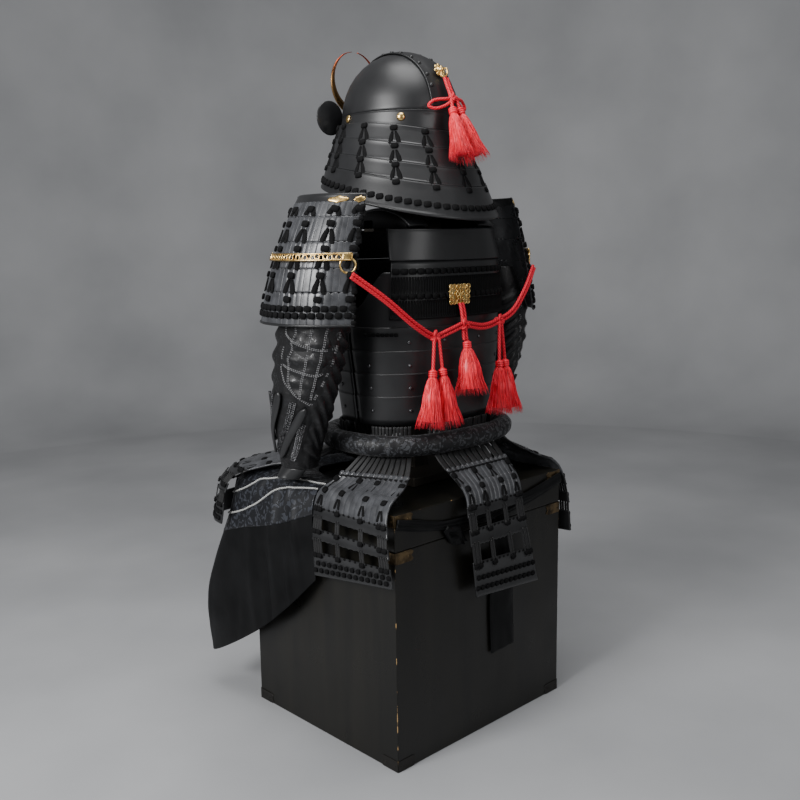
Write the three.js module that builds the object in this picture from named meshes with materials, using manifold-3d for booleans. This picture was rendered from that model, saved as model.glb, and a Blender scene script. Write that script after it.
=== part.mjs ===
// Samurai armour on its storage box: black lacquer plates, laced lames, brocade cloth and red cords.
// Millimetres, +Z up, origin at the centre of the underside of the box. The armour faces -Y and its
// left side is +X.
import * as THREE from 'three';
import { mergeVertices } from 'three/addons/utils/BufferGeometryUtils.js';
import Module from 'manifold-3d';

const wasm = await Module();
wasm.setup();

// ---- driving dimensions -------------------------------------------------------------------------

const GAP = 0.4;               // clearance between pieces that touch
const PLATE = 2.4;             // lacquered plate
const LAMES = 3;               // a row of lames with its lacing
const CLOTH = 2.4;             // lined brocade or satin

const BOX = { width: 488, depth: 436, body: 430, lid: 70, wall: 12 };
const BOX_TOP = BOX.body + BOX.lid;

// Torso sections: height, half width, half depth, and where the middle lies in depth.
const TORSO_X = -12;
const TORSO_SQUARE = 2.7;
const TORSO = [
  { z: 570, a: 158, b: 108, y: 22 },
  { z: 640, a: 164, b: 114, y: 24 },
  { z: 720, a: 172, b: 120, y: 24 },
  { z: 800, a: 180, b: 126, y: 22 },
  { z: 860, a: 180, b: 128, y: 20 },
  { z: 950, a: 172, b: 124, y: 22 },
  { z: 1012, a: 150, b: 112, y: 26 },
];
const PLATE_TOP = 1010;        // upper edge of the plain back plate
const LACED_TOP = 951;         // laced rows hang from here
const LACED_FOOT = 841;
const RIVETED_TOP = 872;       // riveted lames start behind the laced rows
const RIVETED_FOOT = 634;

// Helmet: the bowl is an oval dome, and the foot of the neck guard rises towards the front.
const BOWL = { a: 105, b: 124, y: -6, rim: 1234, top: 1352 };
const BAND_HEIGHT = 38;        // at the nape; it narrows towards the brow
const NECK = { a: 168, b: 184, y: 17, foot: 1024, rise: 0.235 };
const NECK_ROWS = [0, 0.21, 0.43, 0.63, 1];
const NECK_SPAN = [-48, 228];  // degrees, with 90 at the back

// Shoulder guard: an arc that hangs over the upper arm and widens downwards.
const GUARD_TOP = { z: 1074, x: 140, y: 20, a: 108, b: 112 };
const GUARD_FOOT = { z: 838, x: 158, y: 3, a: 171, b: 156 };
const GUARD_SPAN = [-66, 56];
const GUARD_ROWS = 5;

// Sleeve rings from the shoulder to the wrist: centre, half width in X and half depth in Y.
const SLEEVE = [
  { z: 930, x: 232, y: 20, a: 38, b: 64 },
  { z: 850, x: 256, y: 20, a: 56, b: 78 },
  { z: 780, x: 264, y: 10, a: 58, b: 78 },
  { z: 710, x: 266, y: -4, a: 55, b: 72 },
  { z: 640, x: 262, y: -22, a: 48, b: 61 },
  { z: 575, x: 250, y: -44, a: 38, b: 47 },
  { z: 552, x: 245, y: -52, a: 35, b: 42 },
];
const SLEEVE_ASIDE = 8;        // the right sleeve hangs this much further out

const WAIST_Z = 598;           // middle of the padded roll
const ROLL_RADIUS = 21;
const ROLL_OUT = 28;           // from the torso's surface to the middle of the roll

const CORD = 6;                // braided cord

// ---- finishes -----------------------------------------------------------------------------------

const finish = (color, roughness, metalness = 0) =>
  new THREE.MeshStandardMaterial({ color, roughness, metalness });
const lacquer = finish(0x17181a, 0.38);
const laced = finish(0x1d1d20, 0.6);
const boxLacquer = finish(0x0d0d0b, 0.3);
const wood = finish(0x1c1714, 0.7);
const gold = finish(0xc99a3c, 0.3, 1);
const copper = finish(0xa4552f, 0.3, 1);
const brocade = finish(0x24262a, 0.45);
const satin = finish(0x101012, 0.4);
const redCord = finish(0xd63a4c, 0.6);

// ---- helpers ------------------------------------------------------------------------------------

const object = new THREE.Group();

function add(name, geometry, material) {
  const mesh = new THREE.Mesh(geometry, material);
  mesh.name = name;
  object.add(mesh);
  return mesh;
}

const mix = (a, b, t) => a + (b - a) * t;
const radians = THREE.MathUtils.degToRad;
const point = (x, y, z) => new THREE.Vector3(x, y, z);
const spread = (from, to, steps) =>
  Array.from({ length: steps + 1 }, (_, i) => mix(from, to, i / steps));
const sides = [{ name: 'left', sign: 1 }, { name: 'right', sign: -1 }];

function volume(positions, index) {
  const corner = (i) => point().fromArray(positions, 3 * index[i]);
  let total = 0;
  for (let i = 0; i < index.length; i += 3) {
    total += corner(i).dot(corner(i + 1).cross(corner(i + 2))) / 6;
  }
  return total;
}

// A closed solid from a list of positions and triangles, turned so that its faces point out.
function solid(positions, index) {
  if (volume(positions, index) < 0) index = index.slice().reverse();
  const geometry = new THREE.BufferGeometry();
  geometry.setAttribute('position', new THREE.Float32BufferAttribute(positions, 3));
  geometry.setIndex(index);
  geometry.computeVertexNormals();
  return geometry;
}

// The same geometry with its faces pointing out, after a mirroring or a turned profile.
const turnedOut = (geometry) =>
  solid([...geometry.attributes.position.array], [...geometry.index.array]);

// A wall of even thickness. grid[row][column] holds the points of one face, and the other face is moved
// along the surface normal. It grows outwards where the rows are listed downwards and each row runs
// from the left side round the back. A wrapped wall closes on itself along each row.
function wall(grid, thickness, wrapped = false) {
  const rows = grid.length;
  const columns = grid[0].length;
  const at = (r, c) => {
    const row = grid[THREE.MathUtils.clamp(r, 0, rows - 1)];
    return wrapped ? row[(c + columns) % columns] : row[THREE.MathUtils.clamp(c, 0, columns - 1)];
  };
  const moved = grid.map((row, r) => row.map((p, c) => {
    const along = at(r, c + 1).clone().sub(at(r, c - 1));
    const down = at(r + 1, c).clone().sub(at(r - 1, c));
    return p.clone().addScaledVector(along.cross(down).normalize(), -thickness);
  }));
  const positions = [grid, moved].flat(2).flatMap((p) => p.toArray());
  const id = (r, c, layer) => (layer * rows + r) * columns + (c % columns);
  const index = [];
  const quad = (a, b, c, d) => index.push(a, b, c, a, c, d);
  const spans = wrapped ? columns : columns - 1;
  for (let r = 0; r < rows - 1; r += 1) {
    for (let c = 0; c < spans; c += 1) {
      quad(id(r, c, 0), id(r, c + 1, 0), id(r + 1, c + 1, 0), id(r + 1, c, 0));
      quad(id(r, c, 1), id(r + 1, c, 1), id(r + 1, c + 1, 1), id(r, c + 1, 1));
    }
  }
  for (let c = 0; c < spans; c += 1) {
    quad(id(0, c, 0), id(0, c, 1), id(0, c + 1, 1), id(0, c + 1, 0));
    quad(id(rows - 1, c, 0), id(rows - 1, c + 1, 0), id(rows - 1, c + 1, 1), id(rows - 1, c, 1));
  }
  if (!wrapped) {
    for (let r = 0; r < rows - 1; r += 1) {
      quad(id(r, 0, 0), id(r + 1, 0, 0), id(r + 1, 0, 1), id(r, 0, 1));
      quad(id(r, spans, 0), id(r, spans, 1), id(r + 1, spans, 1), id(r + 1, spans, 0));
    }
  }
  return solid(positions, index);
}

// The same wall on the other side of the armour, moved sideways a little where it needs room.
const mirrored = (grid, sign, aside = 0) => (sign > 0
  ? grid
  : grid.map((row) => row.map((p) => point(-p.x - aside, p.y, p.z)).reverse()));

function toManifold(geometry) {
  const bare = geometry.clone();
  bare.deleteAttribute('normal');
  bare.deleteAttribute('uv');
  const merged = mergeVertices(bare, 1e-3);
  return new wasm.Manifold(new wasm.Mesh({
    numProp: 3,
    vertProperties: new Float32Array(merged.attributes.position.array),
    triVerts: new Uint32Array(merged.index.array),
  }));
}

function fromManifold(manifold) {
  const mesh = manifold.getMesh();
  return solid([...mesh.vertProperties], [...mesh.triVerts]);
}

const join = (...parts) => fromManifold(parts.map(toManifold).reduce((a, b) => a.add(b)));
const cut = (body, tool) => fromManifold(toManifold(body).subtract(toManifold(tool)));

// A box given by its two opposite corners.
function block(low, high) {
  const size = high.map((v, i) => v - low[i]);
  return new THREE.BoxGeometry(...size).translate(...low.map((v, i) => v + size[i] / 2));
}

function cylinder(radius, from, to, facets = 12) {
  const length = from.distanceTo(to);
  const turn = new THREE.Quaternion().setFromUnitVectors(
    point(0, 1, 0), to.clone().sub(from).normalize());
  return new THREE.CylinderGeometry(radius, radius, length, facets)
    .applyQuaternion(turn)
    .translate(...from.clone().add(to).multiplyScalar(0.5).toArray());
}

// A tube of oval section along a smooth curve through the given points.
function tube(points, halfWidth, halfHeight, stepLength, facets = 8) {
  const path = new THREE.CatmullRomCurve3(points);
  const section = new THREE.Shape(spread(0, 2 * Math.PI, facets).slice(0, facets)
    .map((t) => new THREE.Vector2(halfWidth * Math.cos(t), halfHeight * Math.sin(t))));
  const steps = Math.max(2, Math.round(path.getLength() / stepLength));
  return new THREE.ExtrudeGeometry(section, { steps, extrudePath: path, curveSegments: 1 });
}

// ---- torso surface ------------------------------------------------------------------------------

function sectionAt(sections, z, keys) {
  const rising = sections[0].z < sections.at(-1).z ? sections : [...sections].reverse();
  const last = rising.length - 1;
  let i = rising.findIndex((s) => s.z > z) - 1;
  if (i < 0) i = z <= rising[0].z ? 0 : last - 1;
  const t = THREE.MathUtils.clamp((z - rising[i].z) / (rising[i + 1].z - rising[i].z), 0, 1);
  return Object.fromEntries(keys.map((k) => [k, mix(rising[i][k], rising[i + 1][k], t)]));
}

// A point on the torso: angle in degrees from the left side (+X), with 90 at the back.
function torso(degrees, z, out = 0) {
  const s = sectionAt(TORSO, z, ['a', 'b', 'y']);
  const c = Math.cos(radians(degrees));
  const n = Math.sin(radians(degrees));
  const power = 2 / TORSO_SQUARE;
  return point(
    TORSO_X + (s.a + out) * Math.sign(c) * Math.abs(c) ** power,
    s.y + (s.b + out) * Math.sign(n) * Math.abs(n) ** power,
    z,
  );
}

// Rows that overlap like shingles: each row leans out by lap at its head and lies flat at its foot.
function shingled(levels, lap) {
  const rows = [];
  for (let i = 0; i < levels.length - 1; i += 1) {
    const lip = (levels[i + 1] - levels[i]) * 0.02;
    rows.push({ at: levels[i] + (i ? lip : 0), out: lap }, { at: levels[i + 1], out: 0 });
  }
  return rows;
}

// ---- storage box --------------------------------------------------------------------------------

function addBox() {
  const { width, depth, body, wall: board } = BOX;
  const outer = block([-width / 2, -depth / 2, 0], [width / 2, depth / 2, body]);
  const inner = block([board - width / 2, board - depth / 2, board],
    [width / 2 - board, depth / 2 - board, body + 1]);
  add('box_body', cut(outer, inner), boxLacquer);

  const rim = body + GAP;
  const cover = block([-width / 2, -depth / 2, rim], [width / 2, depth / 2, BOX_TOP]);
  const space = block([board - width / 2, board - depth / 2, rim - 1],
    [width / 2 - board, depth / 2 - board, BOX_TOP - board]);
  add('box_lid', cut(cover, space), boxLacquer);
}

// ---- wooden stand inside the armour -------------------------------------------------------------

const STAND_TOP = 1190;

function addStand() {
  const floor = BOX_TOP + GAP;
  const foot = block([TORSO_X - 90, -60, floor], [TORSO_X + 90, 100, floor + 18]);
  const post = block([TORSO_X - 20, -8, floor + 10], [TORSO_X + 20, 32, STAND_TOP]);
  const yoke = block([TORSO_X - 120, -2, 1006], [TORSO_X + 120, 26, 1030]);
  add('stand_frame', join(foot, post, yoke), wood);
  const dome = new THREE.LatheGeometry([
    new THREE.Vector2(0, 0), new THREE.Vector2(44, 0), new THREE.Vector2(56, 40),
    new THREE.Vector2(56, 88), new THREE.Vector2(42, 126), new THREE.Vector2(22, 146),
    new THREE.Vector2(0, 150),
  ], 14).rotateX(Math.PI / 2).translate(-2, 0, STAND_TOP + GAP);
  add('stand_head', dome, wood);
}

// ---- cuirass ------------------------------------------------------------------------------------

// Upper edge of the riveted lames: low under the arm, high where it goes behind the laced rows.
function armhole(degrees) {
  const inward = Math.min(degrees, 179 - degrees);
  return mix(RIVETED_TOP - 12, RIVETED_TOP + 58, THREE.MathUtils.smoothstep(inward, 4, 30));
}

// Back and front halves meet at the sides, a seam apart.
const BACK_SPAN = [0.5, 179.5];
const FRONT_SPAN = [180.5, 359.5];
const PLATE_CUT = [26, 34];    // degrees from the side to the plate's edge, at its top and foot
const LACED_CUT = 35;

function addCuirass() {
  for (const [side, [from, to]] of [['back', BACK_SPAN], ['front', FRONT_SPAN]]) {
    const levels = [RIVETED_TOP, 826, 781, 737, 692, RIVETED_FOOT];
    const lames = shingled(levels.map((z) => -z), 1.4)
      .map((row, i) => spread(from, to, 16)
        .map((t) => torso(t, (i ? -row.at : armhole(t - from)), row.out)));
    add(`${side}_lames`, wall(lames, PLATE), lacquer);

    const plate = [0, 0.5, 1].map((down) => {
      const inset = mix(...PLATE_CUT, down);
      return spread(from + inset, to - inset, 12)
        .map((t) => torso(t, mix(PLATE_TOP, LACED_TOP + GAP, down), 8));
    });
    add(`${side}_plate`, wall(plate, PLATE), lacquer);

    const rows = shingled([-LACED_TOP, -912, -872, -LACED_FOOT], 1.6)
      .map((row) => spread(from + LACED_CUT, to - LACED_CUT, 12)
        .map((t) => torso(t, -row.at, 6 + row.out)));
    add(`${side}_laced`, wall(rows, LAMES), laced);
  }
}

// Shoulder straps: from the top of the back plate, over the shoulder, to the front plate.
function addStraps() {
  for (const { name, sign } of sides) {
    const middle = TORSO_X + sign * 96;
    const profile = [[126, 1014], [96, 1034], [50, 1046], [0, 1042], [-46, 1024], [-80, 1014]];
    const grid = profile.map(([y, z]) =>
      spread(-24, 24, 2).map((dx) => point(middle + dx, y, z)));
    add(`shoulder_strap_${name}`, wall(grid, 5), laced);
  }
}

// ---- helmet -------------------------------------------------------------------------------------

// A point on the bowl: climb is 0 at the rim and 90 at the crown.
function bowl(degrees, climb, out = 0) {
  const level = Math.cos(radians(climb));
  const rise = Math.sin(radians(climb));
  return point(
    (BOWL.a + out) * level * Math.cos(radians(degrees)),
    BOWL.y + (BOWL.b + out) * level * Math.sin(radians(degrees)),
    mix(BOWL.rim, BOWL.top + out, rise),
  );
}

function bandPoint(degrees, down, out) {
  const p = bowl(degrees, 0, out + 3 * down);
  const share = mix(0.45, 1, ((p.y - BOWL.y + BOWL.b) / (2 * BOWL.b)) ** 3);
  return p.setZ(BOWL.rim - GAP - BAND_HEIGHT * share * down);
}

// A point on the neck guard: drop is 0 under the band and 1 at the foot.
function neck(degrees, drop, out = 0) {
  const head = bandPoint(degrees, 1, 4 + out);
  const c = Math.cos(radians(degrees));
  const n = Math.sin(radians(degrees));
  const x = (NECK.a + out) * c;
  const y = NECK.y + (NECK.b + out) * n;
  const foot = point(x, y, NECK.foot + NECK.rise * (NECK.y + NECK.b - y));
  return head.setZ(head.z - GAP).lerp(foot, drop);
}

function addHelmet() {
  const climbs = [0, 18, 35, 50, 64, 76, 86];
  const dome = climbs.map((climb) =>
    spread(0, 360, 20).slice(0, 20).map((t) => bowl(t, climb))).reverse();
  const crown = bowl(0, 90);
  const lid = new THREE.CylinderGeometry(9, 14, 4, 12).rotateX(Math.PI / 2)
    .translate(0, crown.y, BOWL.top - 1);
  add('helmet_bowl', join(wall(dome, PLATE, true), lid), lacquer);

  // The middle plate runs over the dome from the nape to the brow, clear of the bowl's rivets.
  const halfPlate = { rear: 34, front: 27 };
  const plateLift = 5;
  const run = [...spread(2, 90, 8).map((climb) => [90, climb]),
    ...spread(79, 4, 7).map((climb) => [270, climb])];
  const strip = run.map(([side, climb]) => spread(-1, 1, 4).map((t) => {
    const across = t * (side === 90 ? halfPlate.rear : halfPlate.front);
    const reach = THREE.MathUtils.clamp(Math.abs(bowl(side, climb).y - BOWL.y) / BOWL.b, 0.2, 1);
    const turn = THREE.MathUtils.radToDeg(Math.asin(across / (BOWL.a * reach + 40)));
    const spot = bowl(side === 90 ? 90 - turn : 270 + turn, climb).setX(across);
    const away = point(across / BOWL.a ** 2, (spot.y - BOWL.y) / BOWL.b ** 2,
      (spot.z - BOWL.rim) / (BOWL.top - BOWL.rim) ** 2).normalize();
    return spot.addScaledVector(away, plateLift);
  }));
  add('helmet_plate', wall(strip, 1.6), lacquer);

  const band = [0, 1].map((down) =>
    spread(NECK_SPAN[0], NECK_SPAN[1], 18).map((t) => bandPoint(t, down, 0.5)));
  add('helmet_band', wall(band, PLATE), lacquer);

  const visor = [0, 0.5, 1].map((out) => spread(244, 296, 8).map((t) => {
    const p = bowl(t, 0, 2 + 42 * out);
    return p.setZ(BOWL.rim - 4 - 14 * out);
  }));
  add('helmet_visor', wall(visor, PLATE), lacquer);

  NECK_ROWS.slice(1).forEach((foot, i) => {
    const head = NECK_ROWS[i] + (i ? 0.006 : 0);
    const lame = [[head, 2], [foot, 0]].map(([drop, out]) =>
      spread(NECK_SPAN[0], NECK_SPAN[1], 18).map((t) => neck(t, drop, out)));
    add(`neck_lame_${i + 1}`, wall(lame, PLATE), lacquer);
  });
}

// Turned-back ends of the first lame: rounded plates that stand out beside the face.
function addTurnbacks() {
  for (const { name, sign } of sides) {
    const disc = new THREE.CylinderGeometry(34, 34, PLATE, 20)
      .translate(sign * 94, -113, 1235);
    add(`turnback_${name}`, disc, lacquer);
  }
}

// Crescent crest: a ring that is thick below and thin at its tips, on a short tang.
function addCrest() {
  const outer = 65;
  const inner = 56;
  const lift = 8;
  const opening = 7;
  const shape = new THREE.Shape();
  shape.absarc(0, 0, outer, radians(90 + opening), radians(450 - opening), false);
  shape.absarc(0, lift, inner, radians(450 - opening), radians(90 + opening), true);
  const ring = new THREE.ExtrudeGeometry(shape, { depth: 3, bevelEnabled: false, curveSegments: 20 })
    .rotateX(Math.PI / 2);
  const tang = block([-9, -3, -outer - 17], [9, 0, -outer + 8]);
  add('crest', join(ring, tang).translate(0, -140, 1313), copper);
}

// ---- shoulder guards ----------------------------------------------------------------------------

function guard(u, v, out = 0) {
  const at = (key) => mix(GUARD_TOP[key], GUARD_FOOT[key], v);
  const swell = Math.sin(v * Math.PI / 2) ** 0.8;
  const a = mix(GUARD_TOP.a, GUARD_FOOT.a, swell) + out;
  const angle = radians(mix(GUARD_SPAN[0], GUARD_SPAN[1], u));
  return point(at('x') + a * Math.cos(angle), at('y') + (at('b') + out) * Math.sin(angle), at('z'));
}

function addGuards() {
  for (const { name, sign } of sides) {
    const capRows = [[0, 0], [0.085, 0]];
    const cap = capRows.map(([v, out]) => spread(0, 1, 10).map((u) => guard(u, v, out)));
    const levels = spread(0.09, 1, GUARD_ROWS);
    const rows = shingled(levels, 1.6)
      .map((row) => spread(0, 1, 10).map((u) => guard(u, row.at, row.out)));
    add(`guard_cap_${name}`, wall(mirrored(cap, sign), PLATE), lacquer);
    add(`guard_lames_${name}`, wall(mirrored(rows, sign), LAMES), laced);

    // Gold bar across the upper lames, with the ring for the back cord at its rear end.
    const height = 0.475;
    const bar = [-0.025, 0.025].map((dv) =>
      spread(0.3, 0.97, 6).map((u) => guard(u, height + dv, 10.5)));
    const middle = guard(0.95, height + 0.064, 8);
    const ring = new THREE.TorusGeometry(14, 1.8, 6, 16).rotateY(Math.PI / 2)
      .rotateZ(radians(50)).translate(...middle.toArray());
    const whole = join(wall(bar, 3), ring).scale(sign, 1, 1);
    add(`guard_bar_${name}`, turnedOut(whole), gold);
  }
}

// ---- sleeves ------------------------------------------------------------------------------------

function addSleeves() {
  for (const { name, sign } of sides) {
    const rings = SLEEVE.map((ring) => spread(0, 360, 12).slice(0, 12).map((t) =>
      point(ring.x + ring.a * Math.cos(radians(t)), ring.y + ring.b * Math.sin(radians(t)), ring.z)));
    add(`sleeve_${name}`, wall(mirrored(rings, sign, SLEEVE_ASIDE), CLOTH, true), brocade);

    const hand = SLEEVE.at(-1);
    const back = [0, 0.5, 1].map((v) => spread(-70, 70, 6).map((t) => point(
      hand.x + (hand.a - 4 + 10 * v) * Math.cos(radians(t)),
      hand.y - 12 * v + (hand.b - 6 - 8 * v) * Math.sin(radians(t)),
      hand.z - GAP - 22 * v)));
    add(`hand_guard_${name}`, wall(mirrored(back, sign, SLEEVE_ASIDE), PLATE), lacquer);
  }
}

// ---- waist roll and hanging skirt ---------------------------------------------------------------

function addWaistRoll() {
  const centre = spread(0, 360, 26).slice(0, 26).map((t) => torso(t, WAIST_Z, ROLL_OUT));
  const facets = 8;
  const rows = spread(0, 2 * Math.PI, facets).slice(0, facets).map((turn) => centre.map((p) => {
    const away = p.clone().sub(point(TORSO_X, 22, WAIST_Z)).normalize();
    return p.clone().addScaledVector(away, ROLL_RADIUS * Math.cos(turn))
      .add(point(0, 0, ROLL_RADIUS * Math.sin(turn)));
  }));
  add('waist_roll', torusFrom(rows), brocade);
}

// A solid ring whose rows and columns both close on themselves.
function torusFrom(rows) {
  const columns = rows[0].length;
  const id = (r, c) => (r % rows.length) * columns + (c % columns);
  const index = [];
  for (let r = 0; r < rows.length; r += 1) {
    for (let c = 0; c < columns; c += 1) {
      index.push(id(r, c), id(r, c + 1), id(r + 1, c + 1), id(r, c), id(r + 1, c + 1), id(r + 1, c));
    }
  }
  return solid(rows.flat().flatMap((p) => p.toArray()), index);
}

// Each skirt panel is given by its left and right edges, from the waist down. Between the edges it
// bows out, and it leans like shingles from row to row.
const SKIRT_PANELS = {
  back_left: {
    from: 52, to: 12,
    edges: [
      [[122, 140, 572], [182, 188, 538], [250, 212, 509], [267, 226, 452], [268, 238, 374]],
      [[196, 60, 572], [228, 40, 538], [252, 14, 509], [266, 12, 452], [266, 14, 345]],
    ],
  },
  back_middle: {
    from: 116, to: 68,
    edges: [
      [[-96, 166, 572], [-98, 196, 540], [-96, 226, 507], [-92, 240, 452], [-140, 240, 286]],
      [[84, 166, 572], [76, 196, 540], [68, 226, 507], [72, 240, 452], [50, 240, 300]],
    ],
  },
  back_right: {
    from: 168, to: 128,
    edges: [
      [[-224, 60, 572], [-236, 38, 538], [-252, 14, 509], [-266, 12, 452], [-266, 8, 345]],
      [[-150, 140, 572], [-194, 186, 538], [-250, 208, 509], [-266, 222, 452], [-266, 232, 362]],
    ],
  },
  front_left: {
    from: -12, to: -52, bow: 34,
    edges: [
      [[188, -28, 570], [206, -86, 545], [248, -156, 532], [292, -226, 498], [304, -250, 402]],
      [[122, -94, 572], [134, -165, 552], [150, -252, 534], [172, -318, 500], [188, -350, 396]],
    ],
  },
  front_middle: {
    from: -68, to: -112,
    edges: [
      [[70, -122, 572], [72, -160, 548], [74, -240, 526], [76, -290, 452], [78, -304, 350]],
      [[-98, -122, 572], [-100, -160, 548], [-102, -240, 526], [-104, -290, 452], [-106, -304, 350]],
    ],
  },
  front_right: {
    from: -128, to: -168, bow: 34,
    edges: [
      [[-150, -94, 572], [-160, -165, 552], [-172, -252, 534], [-188, -318, 500], [-200, -350, 396]],
      [[-206, -28, 570], [-216, -86, 545], [-254, -156, 532], [-292, -226, 498], [-304, -250, 402]],
    ],
  },
};

const STRAPS_TOP = 632;        // the straps are laced to the foot of the cuirass

// The way down one edge of a panel: from the cuirass, under the waist roll, then along its points.
function panelEdge(degrees, points) {
  const head = [STRAPS_TOP, WAIST_Z].map((z) => torso(degrees, z, 5));
  return new THREE.CatmullRomCurve3([...head, ...points.map((p) => point(...p))], false, 'centripetal');
}

function addSkirt() {
  for (const [name, panel] of Object.entries(SKIRT_PANELS)) {
    const rear = panelEdge(panel.from, panel.edges[0]);
    const front = panelEdge(panel.to, panel.edges[1]);
    const steps = 4;
    const grid = spread(0, 1, 11).map((v) => spread(0, 1, steps).map((u) => {
      const straight = rear.getPoint(v).lerp(front.getPoint(v), u);
      if (straight.z > WAIST_Z - ROLL_RADIUS) {
        return torso(mix(panel.from, panel.to, u), straight.z, 5);
      }
      const away = point(straight.x, straight.y, 0).normalize();
      const share = 4 * u * (1 - u) * THREE.MathUtils.smoothstep(v, 0.35, 0.75);
      return straight.addScaledVector(away, (panel.bow ?? 0) * share);
    }));
    add(`skirt_${name}`, wall(grid, LAMES), laced);
  }
}

// ---- apron --------------------------------------------------------------------------------------

// Each half of the apron lies on the lid and falls over its edge: brocade above, satin below. Rows
// run down from the waist, and each row runs from the rear edge, round the corner, to the middle.
const APRON = [
  [[172, 2, 508], [168, -60, 510], [150, -112, 512], [118, -136, 512], [80, -140, 510], [14, -142, 508]],
  [[236, 2, 512], [238, -60, 516], [234, -130, 518], [206, -206, 520], [130, -206, 518], [14, -206, 512]],
  [[254, 4, 496], [262, -60, 498], [266, -140, 502], [240, -258, 498], [140, -244, 500], [14, -236, 494]],
  [[262, 6, 466], [280, -60, 446], [286, -150, 428], [252, -294, 408], [150, -276, 430], [16, -246, 440]],
  [[262, 8, 400], [282, -60, 356], [290, -156, 306], [272, -352, 240], [155, -304, 300], [18, -248, 340]],
  [[260, 8, 332], [278, -62, 262], [286, -160, 186], [270, -354, 84], [160, -304, 180], [20, -248, 250]],
];

function addApron() {
  for (const { name, sign } of sides) {
    const rows = APRON.map((row) => new THREE.CatmullRomCurve3(row.map((p) => point(...p))));
    const columns = spread(0, 1, 11).map((u) =>
      new THREE.CatmullRomCurve3(rows.map((row) => row.getPoint(u)), false, 'centripetal'));
    const grid = spread(0, 1, 8).map((v) => columns.map((column) => column.getPoint(v)));
    add(`apron_${name}`, wall(mirrored(grid, sign), CLOTH), brocade);
  }
  // The apron's belt is tied round the lid. It sags behind it, and one end hangs down the box.
  const back = BOX.depth / 2 + GAP;
  const halfBand = 8;
  const belt = [[242, 485], [184, 456], [130, 441], [61, 433], [-30, 437], [-123, 456], [-241, 471]];
  const band = [halfBand, -halfBand].map((up) => belt.map(([x, z]) => point(x, back, z + up)));
  const tail = [442, 158].map((z) => [-14, -87].map((x) => point(x, back, z)));
  add('apron_belt', join(wall(band, 3), wall(tail, 3)), satin);
}

// ---- red cords ----------------------------------------------------------------------------------

// Two braided strands side by side share one oblong solid.
function doubled(name, points) {
  add(name, tube(points.map((p) => point(...p)), CORD, CORD / 2, 15), redCord);
}

// A tassel on its length of cord: it starts at a knot and hangs to its foot.
function tassel(name, top, foot, stem, radius) {
  const start = point(...top);
  const way = point(...foot).sub(start);
  const length = way.length();
  const profile = [[0, 0], [3, 0], [3, stem], [7, stem + 1], [7, stem + 12], [radius * 0.8, stem + 30],
    [radius, length], [0, length]].map(([r, down]) => new THREE.Vector2(r, down));
  const turn = new THREE.Quaternion().setFromUnitVectors(point(0, 1, 0), way.normalize());
  const body = new THREE.LatheGeometry(profile.reverse(), 10).applyQuaternion(turn)
    .translate(...start.toArray());
  add(name, turnedOut(body), redCord);
}

const KNOT_LEFT = [82, 164, 808];
const KNOT_MIDDLE = [6, 170, 828];
const KNOT_RIGHT = [-110, 160, 826];

function addCords() {
  const plaque = block([-22, 0, 866], [36, 4, 904]).translate(0, torso(90, 885, 8).y + 4, 0);
  add('back_plaque', plaque, gold);

  doubled('cord_left', [[258, 132, 929], [194, 152, 882], [124, 164, 828], KNOT_LEFT,
    [46, 170, 818], [13, 172, 827]]);
  doubled('cord_right', [[-258, 132, 929], [-210, 150, 886], [-158, 158, 842], KNOT_RIGHT,
    [-56, 168, 820], [-1, 172, 827]]);
  doubled('cord_middle', [[7, 166, 865], [6, 169, 850], [6, 170, 835]]);

  tassel('tassel_left_1', [87, 166, 802], [102, 176, 630], 54, 11);
  tassel('tassel_left_2', [78, 168, 802], [72, 180, 630], 54, 11);
  tassel('tassel_middle', [7, 172, 821], [7, 182, 684], 26, 16);
  tassel('tassel_right_1', [-106, 162, 820], [-94, 174, 630], 74, 11);
  tassel('tassel_right_2', [-115, 160, 820], [-124, 170, 628], 74, 11);

  const ringSeat = cylinder(4, point(0, 101, 1311), point(0, 112, 1312));
  const ring = new THREE.TorusGeometry(8, 1.8, 6, 16).rotateY(Math.PI / 2).translate(0, 117, 1304);
  add('helmet_ring', join(ringSeat, ring), gold);
  doubled('helmet_cord', [[0, 121, 1291], [1, 130, 1274], [1, 138, 1256]]);
  tassel('helmet_tassel_left', [9, 142, 1250], [22, 190, 1130], 16, 11);
  tassel('helmet_tassel_right', [-6, 142, 1250], [-8, 192, 1130], 16, 11);
}

addBox();
addStand();
addCuirass();
addStraps();
addHelmet();
addTurnbacks();
addCrest();
addGuards();
addSleeves();
addWaistRoll();
addSkirt();
addApron();
addCords();

export default object;
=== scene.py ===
# Samurai armour worn by its stand on the storage box: the finished look of every piece.
# Metres, +Z up, origin under the middle of the box. The armour faces -Y and its left side is +X.
import math

import bmesh
import bpy
import numpy as np
from mathutils import Matrix, Vector


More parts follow.
